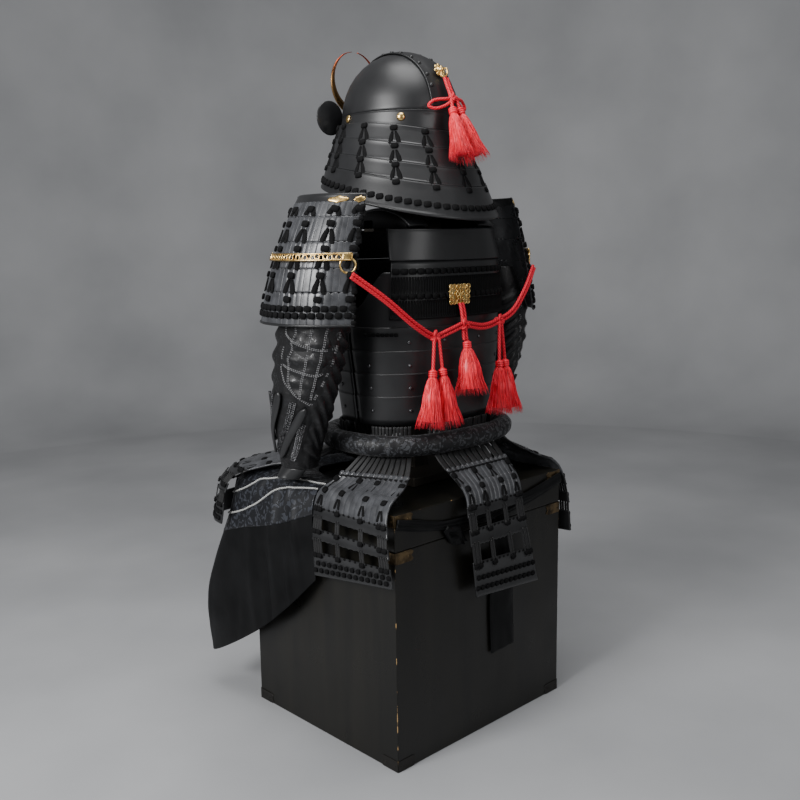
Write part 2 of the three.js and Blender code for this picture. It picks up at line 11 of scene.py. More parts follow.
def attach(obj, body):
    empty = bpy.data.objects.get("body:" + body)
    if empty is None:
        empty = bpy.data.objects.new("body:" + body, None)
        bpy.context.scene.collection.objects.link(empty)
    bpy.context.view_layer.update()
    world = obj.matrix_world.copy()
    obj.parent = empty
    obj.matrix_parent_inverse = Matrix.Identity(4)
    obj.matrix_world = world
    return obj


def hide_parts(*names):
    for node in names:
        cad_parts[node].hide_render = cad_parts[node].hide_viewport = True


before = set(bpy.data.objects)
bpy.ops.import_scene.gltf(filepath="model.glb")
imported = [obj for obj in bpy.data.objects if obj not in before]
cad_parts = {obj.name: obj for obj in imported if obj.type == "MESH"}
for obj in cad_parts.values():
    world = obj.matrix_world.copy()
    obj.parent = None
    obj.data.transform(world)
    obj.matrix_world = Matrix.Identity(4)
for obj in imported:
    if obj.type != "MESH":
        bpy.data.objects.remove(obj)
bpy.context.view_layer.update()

# ---- Camera and studio ----
# The armour is seen from behind its left shoulder, from a little above the waist. A large soft light
# stands to the left, a weaker one to the right and one overhead, over a plain pale floor and wall.
camera_data = bpy.data.cameras.new("camera")
camera_data.lens = 43.17
camera = bpy.data.objects.new("camera", camera_data)
bpy.context.scene.collection.objects.link(camera)
bpy.context.scene.camera = camera
heading, tilt, roll = (math.radians(angle) for angle in (136.295, 9.468, -0.818))
level = Vector((math.cos(heading), math.sin(heading), 0))
ahead = Vector((-math.sin(heading) * math.cos(tilt), math.cos(heading) * math.cos(tilt),
                -math.sin(tilt)))
over = level.cross(ahead)
turned = Matrix((level * math.cos(roll) + over * math.sin(roll),
                 over * math.cos(roll) - level * math.sin(roll), -ahead)).transposed()
camera.matrix_world = Matrix.Translation((1.3855, 1.4313, 0.9899)) @ turned.to_4x4()


def soft_light(name, place, aim, size, power, colour=(1, 1, 1)):
    """A square studio light that shines from place towards aim."""
    lamp = bpy.data.lights.new(name, "AREA")
    lamp.size = size
    lamp.energy = power
    lamp.color = colour
    light = bpy.data.objects.new(name, lamp)
    bpy.context.scene.collection.objects.link(light)
    way = Vector(aim) - Vector(place)
    light.matrix_world = (Matrix.Translation(place)
                          @ way.to_track_quat("-Z", "Y").to_matrix().to_4x4())


soft_light("key_light", (2.7, 0.1, 1.9), (0, 0, 0.9), 1.2, 110)
soft_light("fill_light", (0.1, 2.7, 1.7), (0, 0, 0.8), 1.4, 16)
soft_light("top_light", (0.3, 0.3, 3.2), (0, 0, 0.8), 1.6, 52)
world = bpy.data.worlds.new("studio")
world.use_nodes = True
world.node_tree.nodes["Background"].inputs["Color"].default_value = (0.5, 0.505, 0.52, 1)
world.node_tree.nodes["Background"].inputs["Strength"].default_value = 0.34
bpy.context.scene.world = world


def node(tree, kind, inputs=None, **settings):
    """A new node in tree, with its settings and with values or links for its inputs."""
    new = tree.nodes.new(kind)
    for key, value in settings.items():
        setattr(new, key, value)
    for key, value in (inputs or {}).items():
        if isinstance(value, bpy.types.NodeSocket):
            tree.links.new(value, new.inputs[key])
        else:
            new.inputs[key].default_value = value
    return new


def finish(name, colour, roughness, **constants):
    """A new material, with its node tree and its Principled shader."""
    material = bpy.data.materials.new(name)
    material.use_nodes = True
    shader = material.node_tree.nodes["Principled BSDF"]
    shader.inputs["Base Color"].default_value = (*colour, 1)
    shader.inputs["Roughness"].default_value = roughness
    for key, value in constants.items():
        shader.inputs[key.replace("_", " ")].default_value = value
    return material, material.node_tree, shader


def ramp(tree, factor, stops):
    """A colour ramp over factor. Each stop is a place and a grey or a colour."""
    new = node(tree, "ShaderNodeValToRGB", {"Fac": factor})
    while len(new.color_ramp.elements) < len(stops):
        new.color_ramp.elements.new(0.5)
    for element, (place, value) in zip(new.color_ramp.elements, stops):
        element.position = place
        element.color = (*value, 1) if hasattr(value, "__len__") else (value, value, value, 1)
    return new.outputs["Color"]


def noise(tree, coordinates, scale, detail=3, stretch=(1, 1, 1)):
    """Noise over coordinates, stretched by its own mapping."""
    mapped = node(tree, "ShaderNodeMapping", {"Vector": coordinates, "Scale": stretch})
    return node(tree, "ShaderNodeTexNoise", {"Vector": mapped.outputs["Vector"], "Scale": scale,
                                             "Detail": detail}).outputs["Fac"]


def bump(tree, shader, height, strength, depth):
    """Raises the surface by height, in steps of depth metres."""
    raised = node(tree, "ShaderNodeBump", {"Height": height, "Strength": strength,
                                           "Distance": depth})
    tree.links.new(raised.outputs["Normal"], shader.inputs["Normal"])


floor_paint, tree, shader = finish("floor_paint", (0.36, 0.365, 0.375), 0.55)
place = node(tree, "ShaderNodeTexCoord").outputs["Object"]
tree.links.new(ramp(tree, noise(tree, place, 1.3, 5), [(0.3, (0.30, 0.305, 0.315)),
                                                       (0.7, (0.41, 0.415, 0.425))]),
               shader.inputs["Base Color"])


def mesh_piece(name, points, faces, material, uvs=None, smooth=True):
    """An object from points and faces. A closed shape is turned so that its faces point out."""
    mesh = bpy.data.meshes.new(name)
    mesh.from_pydata([tuple(p) for p in np.asarray(points, float)], [], faces)
    if uvs is not None:
        corners = np.empty(len(mesh.loops), int)
        mesh.loops.foreach_get("vertex_index", corners)
        layer = mesh.uv_layers.new(name="UVMap")
        layer.data.foreach_set("uv", np.asarray(uvs, float)[corners].ravel())
    shape = bmesh.new()
    shape.from_mesh(mesh)
    if shape.calc_volume(signed=True) < 0:
        bmesh.ops.reverse_faces(shape, faces=shape.faces)
    shape.to_mesh(mesh)
    shape.free()
    mesh.polygons.foreach_set("use_smooth", [smooth] * len(mesh.polygons))
    mesh.materials.append(material)
    piece = bpy.data.objects.new(name, mesh)
    bpy.context.scene.collection.objects.link(piece)
    return piece


def studio_ring(name, profile):
    """A round studio surface, from a profile of radius and height."""
    around = np.linspace(0, 2 * math.pi, 65)[:-1]
    points = [(r * math.cos(t), r * math.sin(t), z) for r, z in profile for t in around]
    rows = len(profile)
    faces = [(r * 64 + c, r * 64 + (c + 1) % 64, (r + 1) * 64 + (c + 1) % 64, (r + 1) * 64 + c)
             for r in range(rows - 1) for c in range(64)]
    piece = mesh_piece(name, points, faces, floor_paint)
    return piece


studio_ring("studio_floor", [(0.002, 0), (1, 0), (3.2, 0)])
wall_profile = [(3.2 + 0.9 * math.sin(t), 0.9 - 0.9 * math.cos(t))
                for t in np.linspace(0, math.pi / 2, 12)]
studio_wall = studio_ring("studio_wall", [*wall_profile, (4.1, 5)])
studio_wall.visible_shadow = studio_wall.visible_diffuse = studio_wall.visible_glossy = False


def built(piece, slot, *nodes):
    """A finished piece: it rides on the armour's one body, and the CAD parts named by nodes are hidden. The
    slot is not used.
    """
    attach(piece, "root")
    if nodes:
        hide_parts(*nodes)
    return piece


# ---- Red cords ----
# Braided silk cord, 7 mm thick and laid double. It runs from the ring of each shoulder guard to a
# knot below the gold plaque, and a bow hangs from the helmet. Seven tassels of loose silk end them.
red_silk, tree, shader = finish("red_silk", (0.72, 0.03, 0.055), 0.5, Sheen_Weight=0.05,
                                Sheen_Roughness=0.4, Sheen_Tint=(1, 0.5, 0.55, 1),
                                Specular_IOR_Level=0.35)
along = node(tree, "ShaderNodeTexCoord").outputs["UV"]
strands = node(tree, "ShaderNodeTexWave", {"Vector": along, "Scale": 1.27, "Distortion": 0.6,
                                           "Detail": 1}, bands_direction="DIAGONAL")
# Colour follows the strands: raised strands painted bright red as painted highlight, grooves painted dark red
# as painted shade.
tree.links.new(ramp(tree, strands.outputs["Fac"], [(0.1, (0.42, 0.004, 0.014)),
                                                   (0.75, (0.90, 0.018, 0.045))]),
               shader.inputs["Base Color"])
bump(tree, shader, strands.outputs["Fac"], 0.5, 0.0006)

tassel_silk, tree, shader = finish("tassel_silk", (0.8, 0.05, 0.08), 0.42, Sheen_Weight=0.05,
                                   Sheen_Roughness=0.35, Sheen_Tint=(1, 0.6, 0.65, 1))
place = node(tree, "ShaderNodeTexCoord").outputs["Object"]
thread_ridges = noise(tree, place, 260, 2, (1, 1, 0.08))
# Colour follows the thread relief: raised threads painted up to a pinker painted highlight, hollows between
# them painted darker as painted shade.
tree.links.new(ramp(tree, thread_ridges, [(0.32, (0.5, 0.004, 0.014)), (0.52, (0.88, 0.009, 0.032)),
                                    (0.7, (0.96, 0.045, 0.085))]), shader.inputs["Base Color"])
bump(tree, shader, thread_ridges, 0.35, 0.0005)


def unit(vectors):
    """Vectors of length one."""
    vectors = np.asarray(vectors, float)
    length = np.linalg.norm(vectors, axis=-1, keepdims=True)
    return vectors / np.maximum(length, 1e-12)


def spline(points, where):
    """Points at where, from 0 to 1, on a smooth curve through all the given points."""
    points = np.asarray(points, float)
    ends = np.vstack([2 * points[0] - points[1], points, 2 * points[-1] - points[-2]])
    spot = np.clip(np.atleast_1d(where), 0, 1) * (len(points) - 1)
    cell = np.minimum(spot.astype(int), len(points) - 2)
    t = (spot - cell)[:, None]
    p0, p1, p2, p3 = (ends[cell + i] for i in range(4))
    g0, g1, g2 = (np.maximum(np.sqrt(np.linalg.norm(b - a, axis=1)), 1e-6)[:, None]
                  for a, b in ((p0, p1), (p1, p2), (p2, p3)))
    m1 = ((p1 - p0) / g0 - (p2 - p0) / (g0 + g1) + (p2 - p1) / g1) * g1
    m2 = ((p2 - p1) / g1 - (p3 - p1) / (g1 + g2) + (p3 - p2) / g2) * g1
    return p1 + m1 * t + (3 * (p2 - p1) - 2 * m1 - m2) * t ** 2 + (2 * (p1 - p2) + m1 + m2) * t ** 3


def even(points, step, closed=False):
    """The same line with points a step apart."""
    points = np.asarray(points, float)
    if closed:
        points = np.vstack([points, points[0]])
    far = np.concatenate([[0], np.cumsum(np.linalg.norm(np.diff(points, axis=0), axis=1))])
    count = max(2, round(far[-1] / step)) + 1
    spots = np.linspace(0, far[-1], count)[: count - 1 if closed else count]
    return np.stack([np.interp(spots, far, points[:, i]) for i in range(3)], 1)


def line_length(points):
    """The length of a line of points."""
    return float(np.linalg.norm(np.diff(points, axis=0), axis=1).sum())


def rod(name, points, radius, material, sides=10, braid=0.0, closed=False, plait=0.0075):
    """A round bar or cord along points. braid raises crossing strands on it, plait metres long."""
    points = np.asarray(points, float)
    count = len(points)
    if closed:
        ways = unit(np.roll(points, -1, 0) - np.roll(points, 1, 0))
    else:
        ways = unit(np.gradient(points, axis=0))
    side = unit(np.cross(ways[0], (0.31, 0.17, 0.93)))
    firsts = []
    for way in ways:
        side = unit(side - way * side.dot(way))
        firsts.append(side)
    if closed:
        last = unit(firsts[-1] - ways[0] * firsts[-1].dot(ways[0]))
        slip = math.atan2(np.cross(firsts[0], last).dot(ways[0]), firsts[0].dot(last))
        firsts = [f * math.cos(-slip * i / count) + np.cross(w, f) * math.sin(-slip * i / count)
                  for i, (f, w) in enumerate(zip(firsts, ways))]
    firsts = np.array(firsts)
    seconds = np.cross(ways, firsts)
    far = np.concatenate([[0], np.cumsum(np.linalg.norm(np.diff(points, axis=0), axis=1))])
    turn = np.linspace(0, 2 * math.pi, sides + 1)[:-1]
    radii = np.broadcast_to(np.asarray(radius, float).reshape(-1, 1), (count, sides)).copy()
    phase = far[:, None] * 2 * math.pi / plait
    radii *= 1 + braid * (np.cos(2 * turn + phase) * np.cos(2 * turn - phase) - 0.4)
    skin = (points[:, None] + radii[..., None] * (firsts[:, None] * np.cos(turn)[:, None]
                                                  + seconds[:, None] * np.sin(turn)[:, None]))
    uvs = np.stack(np.broadcast_arrays(turn / math.pi, far[:, None] / (4 * np.max(radius))), -1)
    skin, uvs = skin.reshape(-1, 3), uvs.reshape(-1, 2)
    faces = [(r * sides + c, r * sides + (c + 1) % sides,
              (r + 1) % count * sides + (c + 1) % sides, (r + 1) % count * sides + c)
             for r in range(count if closed else count - 1) for c in range(sides)]
    if not closed:
        for row, middle in ((0, points[0]), (count - 1, points[-1])):
            skin = np.vstack([skin, middle])
            uvs = np.vstack([uvs, (0, 0)])
            tip = len(skin) - 1
            rim = [row * sides + c for c in range(sides)]
            order = reversed(range(sides)) if row == 0 else range(sides)
            faces += [(rim[c], rim[(c + 1) % sides], tip) if row else
                      (rim[(c + 1) % sides], rim[c], tip) for c in order]
    return mesh_piece(name, skin, faces, material, uvs)


def joined(name, *parts):
    """Several pieces made one, under a new name."""
    with bpy.context.temp_override(active_object=parts[0], selected_editable_objects=list(parts)):
        bpy.ops.object.join()
    parts[0].name = parts[0].data.name = name
    return parts[0]


def doubled(points, gap, flat_to):
    """Two lines side by side, gap apart, lying flat against the direction flat_to."""
    line = even(spline(points, np.linspace(0, 1, 200)), 0.0013)
    across = unit(np.cross(np.gradient(line, axis=0), flat_to))
    return line - across * gap / 2, line + across * gap / 2


CORD = 0.007


def free_cord(name, line, nodes):
    """One braided cord along line."""
    cord = built(rod(name, line, CORD / 2, red_silk, braid=0.13), "red_cord", *nodes)
    length = round(line_length(line), 3)
    tuple(line[0])
    return cord


def knot_line(middle, size, across, out):
    """A small overhand knot, as a closed line about its middle, that faces out."""
    t = np.linspace(0, 2 * math.pi, 73)[:-1]
    across, out = unit(across), unit(out)
    up = np.cross(out, across)
    x, y, z = np.sin(t) + 2 * np.sin(2 * t), np.cos(t) - 2 * np.cos(2 * t), -np.sin(3 * t)
    return (np.asarray(middle) + size / 3 * (x[:, None] * across + y[:, None] * up)
            + CORD * 0.5 * z[:, None] * out)


def place_copies(name, copy, places, material):
    """Copies of a small mesh on points, turned and sized by each point's own attributes."""
    trees = bpy.data.node_groups
    if "placed copies" not in trees:
        nodes = trees.new("placed copies", "GeometryNodeTree")
        for label, kind in (("Points", "NodeSocketGeometry"), ("Copy", "NodeSocketObject"),
                            ("Finish", "NodeSocketMaterial")):
            nodes.interface.new_socket(label, in_out="INPUT", socket_type=kind)
        nodes.interface.new_socket("Copies", in_out="OUTPUT", socket_type="NodeSocketGeometry")
        given = node(nodes, "NodeGroupInput").outputs
        turns = node(nodes, "GeometryNodeInputNamedAttribute", {"Name": "turn"},
                     data_type="FLOAT_VECTOR")
        sizes = node(nodes, "GeometryNodeInputNamedAttribute", {"Name": "size"},
                     data_type="FLOAT_VECTOR")
        source = node(nodes, "GeometryNodeObjectInfo", {"Object": given["Copy"]})
        cloud = node(nodes, "GeometryNodeMeshToPoints", {"Mesh": given["Points"]})
        spin = node(nodes, "FunctionNodeEulerToRotation", {"Euler": turns.outputs["Attribute"]})
        copies = node(nodes, "GeometryNodeInstanceOnPoints",
                      {"Points": cloud.outputs["Points"], "Instance": source.outputs["Geometry"],
                       "Rotation": spin.outputs["Rotation"], "Scale": sizes.outputs["Attribute"]})
        real = node(nodes, "GeometryNodeRealizeInstances",
                    {"Geometry": copies.outputs["Instances"]})
        painted = node(nodes, "GeometryNodeSetMaterial",
                       {"Geometry": real.outputs["Geometry"], "Material": given["Finish"]})
        node(nodes, "NodeGroupOutput", {"Copies": painted.outputs["Geometry"]})
    nodes = trees["placed copies"]
    mesh = bpy.data.meshes.new(name)
    mesh.from_pydata([tuple(p[0]) for p in places], [], [])
    turns = [tuple(Matrix(np.asarray(p[1]).T.tolist()).to_euler()) for p in places]
    mesh.attributes.new("turn", "FLOAT_VECTOR", "POINT").data.foreach_set(
        "vector", np.array(turns, float).ravel())
    mesh.attributes.new("size", "FLOAT_VECTOR", "POINT").data.foreach_set(
        "vector", np.array([np.broadcast_to(p[2], 3) for p in places], float).ravel())
    seeds = bpy.data.objects.new(name, mesh)
    bpy.context.scene.collection.objects.link(seeds)
    modifier = seeds.modifiers.new("copies", "NODES")
    modifier.node_group = nodes
    sockets = {s.name: s.identifier for s in nodes.interface.items_tree if s.in_out == "INPUT"}
    modifier[sockets["Copy"]] = copy
    modifier[sockets["Finish"]] = material
    bpy.context.view_layer.update()
    ready = seeds.evaluated_get(bpy.context.evaluated_depsgraph_get())
    result = bpy.data.meshes.new_from_object(ready)
    seeds.modifiers.clear()
    seeds.data = result
    result.name = name
    return seeds


def pattern_piece(name, points, faces):
    """A small mesh that only serves to be copied."""
    piece = mesh_piece(name, points, faces, red_silk)
    bpy.context.scene.collection.objects.unlink(piece)
    return piece


def facing(out, up):
    """Rows of a turn whose third axis points out and whose second is as near up as it can be."""
    out = unit(out)
    up = unit(np.asarray(up) - out * np.dot(up, out))
    return np.array([np.cross(up, out), up, out])


def lathe(name, profile, place, axis, material, sides=24):
    """A turned piece: profile of radius and distance along axis, from place."""
    axis = unit(axis)
    across = unit(np.cross(axis, (0.2, 0.9, 0.1) if abs(axis[1]) < 0.9 else (0.9, 0.2, 0.1)))
    other = np.cross(axis, across)
    t = np.linspace(0, 2 * math.pi, sides + 1)[:-1]
    ring = across * np.cos(t)[:, None] + other * np.sin(t)[:, None]
    points = [place + axis * h + ring * r for r, h in profile[1:-1]]
    points = np.vstack([*points, [place + axis * profile[0][1]], [place + axis * profile[-1][1]]])
    rows = len(profile) - 2
    faces = [(r * sides + c, r * sides + (c + 1) % sides, (r + 1) * sides + (c + 1) % sides,
              (r + 1) * sides + c) for r in range(rows - 1) for c in range(sides)]
    low, high = rows * sides, rows * sides + 1
    faces += [((c + 1) % sides, c, low) for c in range(sides)]
    faces += [((rows - 1) * sides + c, (rows - 1) * sides + (c + 1) % sides, high)
              for c in range(sides)]
    return mesh_piece(name, points, faces, material)


silk_threads = []
for number, wave in enumerate((0.5, -0.7, 0.9)):
    drop = np.linspace(0, 1, 10)
    thread = np.stack([0.92 * drop ** 0.75 + 0.06 * np.sin(7 * drop + wave),
                       0.05 * wave * np.sin(5 * drop), -drop], 1)
    ring = np.array([(1, 0), (0, 1), (-1, 0), (0, -1)]) * 0.055
    skin = np.concatenate([[p + (x * (1.15 - t), y * (1.15 - t), 0) for x, y in ring]
                           for p, t in zip(thread, drop)])
    faces = [(r * 4 + c, r * 4 + (c + 1) % 4, r * 4 + 4 + (c + 1) % 4, r * 4 + 4 + c)
             for r in range(9) for c in range(4)] + [(3, 2, 1, 0), (36, 37, 38, 39)]
    silk_threads.append(pattern_piece(f"silk_thread_{number}", skin, faces))


def tassel(name, top, foot, stem, radius, seed):
    """A tassel of loose silk that hangs from top to foot, below stem metres of cord."""
    top, foot = np.asarray(top), np.asarray(foot)
    axis = unit(foot - top)
    neck, length = top + axis * stem, np.linalg.norm(foot - top) - stem
    core = lathe(name, [(0, 0), (0.005, 0), (0.0066, 0.006), (0.006, 0.012), (0.0075, 0.02),
                        (radius * 0.62, length * 0.45), (radius * 0.74, length * 0.86),
                        (0, length * 0.88)], neck, axis, tassel_silk, 16)
    turn = np.linspace(0, 2 * math.pi, 40)[:-1]
    across = unit(np.cross(axis, (0.3, 0.8, 0.1)))
    other = np.cross(axis, across)
    bands = [rod(f"{name}_band_{i}", neck + axis * h + 0.0066 * (
        across * np.cos(turn)[:, None] + other * np.sin(turn)[:, None]), 0.0021, tassel_silk, 8,
        closed=True) for i, h in enumerate((0.004, 0.0078, 0.0116))]
    chance = np.random.default_rng(seed)
    threads = []
    for number, thread in enumerate(silk_threads):
        places = []
        for i in range(62):
            angle = 2 * math.pi * (i * 0.618 + number / 3)
            out = across * math.cos(angle) + other * math.sin(angle)
            inner = chance.uniform(0.55, 1)
            flare = radius * inner * 1.02
            places.append((neck + axis * 0.012 + out * 0.0038 * inner, facing(-axis, np.cross(
                -axis, out)), (flare, 0.012, (length - 0.012) * chance.uniform(0.9, 1.0))))
        threads.append(place_copies(f"{name}_threads_{number}", thread, places, tassel_silk))
    return joined(name, core, *bands, *threads)


def bow_loop(middle, reach, droop, out):
    """The line of one loop of a bow: out from the middle, round and back."""
    reach, droop, out = (np.asarray(v, float) for v in (reach, droop, out))
    return np.asarray(middle) + np.array([
        0 * out, 0.35 * reach + 0.10 * droop + 0.004 * out, 0.8 * reach + 0.28 * droop,
        reach + 0.85 * droop, 0.8 * reach + 1.15 * droop + 0.003 * out,
        0.38 * reach + 0.8 * droop + 0.005 * out, 0.004 * out])


knot_left, knot_middle, knot_right = ((0.082, 0.166, 0.808), (0.006, 0.172, 0.826),
                                      (-0.110, 0.162, 0.826))
back = (0, 1, 0)
left_run = [(0.258, 0.132, 0.929), (0.194, 0.152, 0.882), (0.124, 0.164, 0.828), knot_left,
            (0.046, 0.170, 0.816), (0.012, 0.172, 0.826)]
right_run = [(-0.258, 0.132, 0.929), (-0.210, 0.150, 0.886), (-0.158, 0.158, 0.842), knot_right,
             (-0.056, 0.168, 0.818), (-0.001, 0.172, 0.826)]
tassels = {
    "tassel_left_1": ((0.088, 0.170, 0.802), (0.112, 0.182, 0.634), 0.056, 0.027),
    "tassel_left_2": ((0.077, 0.172, 0.802), (0.070, 0.190, 0.632), 0.054, 0.027),
    "tassel_middle": ((0.007, 0.176, 0.821), (0.007, 0.192, 0.688), 0.026, 0.034),
    "tassel_right_1": ((-0.106, 0.166, 0.820), (-0.088, 0.182, 0.636), 0.074, 0.026),
    "tassel_right_2": ((-0.115, 0.164, 0.820), (-0.127, 0.176, 0.632), 0.074, 0.026),
    "helmet_tassel_left": ((0.009, 0.142, 1.250), (0.028, 0.190, 1.134), 0.016, 0.022),
    "helmet_tassel_right": ((-0.006, 0.142, 1.250), (-0.012, 0.194, 1.134), 0.016, 0.022),
}
skirts = {name: built(tassel(f"silk_{name}", *facts, seed), "red_cord", name)
          for seed, (name, facts) in enumerate(tassels.items())}
for side, run, knot in (("left", left_run, knot_left), ("right", right_run, knot_right)):
    knots = built(rod(f"knot_{side}", even(knot_line(knot, 0.0105, (1, 0, 0.25), back), 0.0015,
                                           True), CORD / 2, red_silk, braid=0.13, closed=True),
                  "red_cord")
    for strand, line in zip("ab", doubled(run, CORD * 1.04, back)):
        free_cord(f"cord_{side}_{strand}", line, [f"cord_{side}"])
    for number in (1, 2):
        top, foot, stem, _ = tassels[f"tassel_{side}_{number}"]
        way = unit(np.subtract(foot, top))
        line = even([np.add(knot, (0, 0, 0.002)), np.array(top), top + way * (stem + 0.004)],
                    0.0013)
        free_cord(f"tassel_cord_{side}_{number}", line, [])
middle_knot = built(rod("knot_middle", even(knot_line(knot_middle, 0.0105, (1, 0, 0), back), 0.0015,
                                            True), CORD / 2, red_silk, braid=0.13, closed=True),
                    "red_cord")
for strand, line in zip("ab", doubled([(0.007, 0.165, 0.868), (0.006, 0.169, 0.850), knot_middle,
                                       (0.0065, 0.173, 0.812), (0.007, 0.176, 0.796)],
                                      CORD * 1.02, back)):
    free_cord(f"cord_middle_{strand}", line, ["cord_middle"])

bow_middle = np.array((0.001, 0.1405, 1.254))
bow_knot = built(rod("bow_knot", even(knot_line(bow_middle, 0.008, (1, 0, 0.1), (0, 1, 0.2)),
                                      0.0015, True), CORD / 2.3, red_silk, braid=0.13,
                     closed=True), "red_cord")
helmet_lines = doubled([(0.0, 0.121, 1.293), (0.001, 0.130, 1.274), tuple(bow_middle)],
                       CORD * 0.98, (0, 1, 0.4))
for side, line in zip(("left", "right"), helmet_lines[::-1]):
    top, foot, stem, _ = tassels[f"helmet_tassel_{side}"]
    end = np.add(top, unit(np.subtract(foot, top)) * (stem + 0.003))
    line = even(spline([*line[::12], tuple(np.add(top, (0, 0.001, 0))), tuple(end)],
                       np.linspace(0, 1, 120)), 0.0013)
    free_cord(f"helmet_cord_{side}", line, ["helmet_cord"])
for side, reach in (("left", (0.050, -0.016, -0.002)), ("right", (-0.050, -0.016, 0.002))):
    loop = even(spline(bow_loop(bow_middle, reach, (0.002, 0.002, -0.017), (0, 1, 0)),
                       np.linspace(0, 1, 160)), 0.0013)
    cord = built(rod(f"bow_loop_{side}", loop, CORD / 2.2, red_silk, braid=0.13), "red_cord")
    round(line_length(loop), 3)

# ---- Storage box ----
# Boards of lacquered softwood 12 mm thick, with a lid that drops over a rebate. The black lacquer is
# rubbed through to gold-brown wood along the edges, and nailed metal corners guard the ends.
def drift(tree, scale, low, high):
    """A value that drifts between low and high over the surface."""
    if "patchy" not in bpy.data.node_groups:
        group = bpy.data.node_groups.new("patchy", "ShaderNodeTree")
        for label in ("Scale", "Low", "High"):
            group.interface.new_socket(label, in_out="INPUT", socket_type="NodeSocketFloat")
        group.interface.new_socket("Value", in_out="OUTPUT", socket_type="NodeSocketFloat")
        given = node(group, "NodeGroupInput").outputs
        spot = node(group, "ShaderNodeTexCoord").outputs["Object"]
        cloud = node(group, "ShaderNodeTexNoise", {"Vector": spot, "Scale": given["Scale"],
                                                   "Detail": 4})
        value = node(group, "ShaderNodeMapRange", {"Value": cloud.outputs["Fac"], "From Min": 0.35,
                                                   "From Max": 0.65, "To Min": given["Low"],
                                                   "To Max": given["High"]})
        node(group, "NodeGroupOutput", {"Value": value.outputs["Result"]})
    made = node(tree, "ShaderNodeGroup", {}, node_tree=bpy.data.node_groups["patchy"])
    for label, value in (("Scale", scale), ("Low", low), ("High", high)):
        made.inputs[label].default_value = value
    return made.outputs["Value"]


def math_node(tree, operation, *values):
    """One sum on numbers that change over the surface."""
    return node(tree, "ShaderNodeMath", dict(enumerate(values)), operation=operation).outputs[0]


BOX_WIDTH, BOX_DEPTH, BOX_TOP = 0.488, 0.436, 0.500
box_lacquer, tree, shader = finish("box_lacquer", (0.006, 0.0055, 0.0045), 0.34,
                                   Specular_IOR_Level=0.35)
place = node(tree, "ShaderNodeTexCoord").outputs["Object"]
parts = node(tree, "ShaderNodeSeparateXYZ", {"Vector": place}).outputs
gaps = [math_node(tree, "SUBTRACT", half, math_node(tree, "ABSOLUTE", parts[axis]))
        for axis, half in (("X", BOX_WIDTH / 2), ("Y", BOX_DEPTH / 2))]
gaps.append(math_node(tree, "SUBTRACT", BOX_TOP, parts["Z"]))
least = math_node(tree, "MINIMUM", math_node(tree, "MINIMUM", gaps[0], gaps[1]), gaps[2])
most = math_node(tree, "MAXIMUM", math_node(tree, "MAXIMUM", gaps[0], gaps[1]), gaps[2])
total = math_node(tree, "ADD", math_node(tree, "ADD", gaps[0], gaps[1]), gaps[2])
to_edge = math_node(tree, "SUBTRACT", math_node(tree, "SUBTRACT", total, least), most)
ragged = math_node(tree, "ADD", to_edge, drift(tree, 60, -0.0012, 0.0022))
worn = node(tree, "ShaderNodeMapRange", {"Value": ragged, "From Min": -0.0004, "From Max": 0.0004,
                                         "To Min": 1.0, "To Max": 0.0}).outputs["Result"]
grain = noise(tree, place, 34, 4, (1, 1, 0.07))
black = ramp(tree, grain, [(0.3, (0.0035, 0.0033, 0.0025)), (0.7, (0.008, 0.0072, 0.005))])
shown = node(tree, "ShaderNodeMix", {"Factor": worn, "A": black, "B": (0.42, 0.26, 0.11, 1)},
             data_type="RGBA")
tree.links.new(shown.outputs["Result"], shader.inputs["Base Color"])
tree.links.new(drift(tree, 9, 0.26, 0.42), shader.inputs["Roughness"])
bump(tree, shader, grain, 0.12, 0.0004)


def bevelled(name, cad_node, width, material):
    """The same solid with its edges eased."""
    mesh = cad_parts[cad_node].data.copy()
    shape = bmesh.new()
    shape.from_mesh(mesh)
    bmesh.ops.remove_doubles(shape, verts=shape.verts, dist=1e-5)
    bmesh.ops.dissolve_limit(shape, angle_limit=0.02, verts=shape.verts, edges=shape.edges)
    sharp = [e for e in shape.edges if len(e.link_faces) == 2 and e.calc_face_angle() > 0.5]
    bmesh.ops.bevel(shape, geom=sharp, offset=width, segments=3, profile=0.5, affect="EDGES")
    shape.to_mesh(mesh)
    shape.free()
    mesh.name = name
    mesh.materials.clear()
    mesh.materials.append(material)
    mesh.polygons.foreach_set("use_smooth", [False] * len(mesh.polygons))
    piece = bpy.data.objects.new(name, mesh)
    bpy.context.scene.collection.objects.link(piece)
    return piece


built(bevelled("lacquered_box", "box_body", 0.0018, box_lacquer), "box_lacquer", "box_body")
built(bevelled("lacquered_lid", "box_lid", 0.0022, box_lacquer), "box_lacquer", "box_lid")

aged_brass, tree, shader = finish("aged_brass", (0.14, 0.098, 0.05), 0.5, Metallic=0.9)
place = node(tree, "ShaderNodeTexCoord").outputs["Object"]
tree.links.new(ramp(tree, noise(tree, place, 55, 5), [(0.35, (0.03, 0.022, 0.014)),
                                                      (0.6, (0.17, 0.118, 0.06))]),
               shader.inputs["Base Color"])
tree.links.new(drift(tree, 80, 0.3, 0.6), shader.inputs["Roughness"])
dark_iron, tree, shader = finish("dark_iron", (0.03, 0.028, 0.026), 0.45, Metallic=0.8)
tree.links.new(drift(tree, 70, 0.35, 0.6), shader.inputs["Roughness"])
place = node(tree, "ShaderNodeTexCoord").outputs["Object"]
bump(tree, shader, noise(tree, place, 240, 3), 0.3, 0.0003)


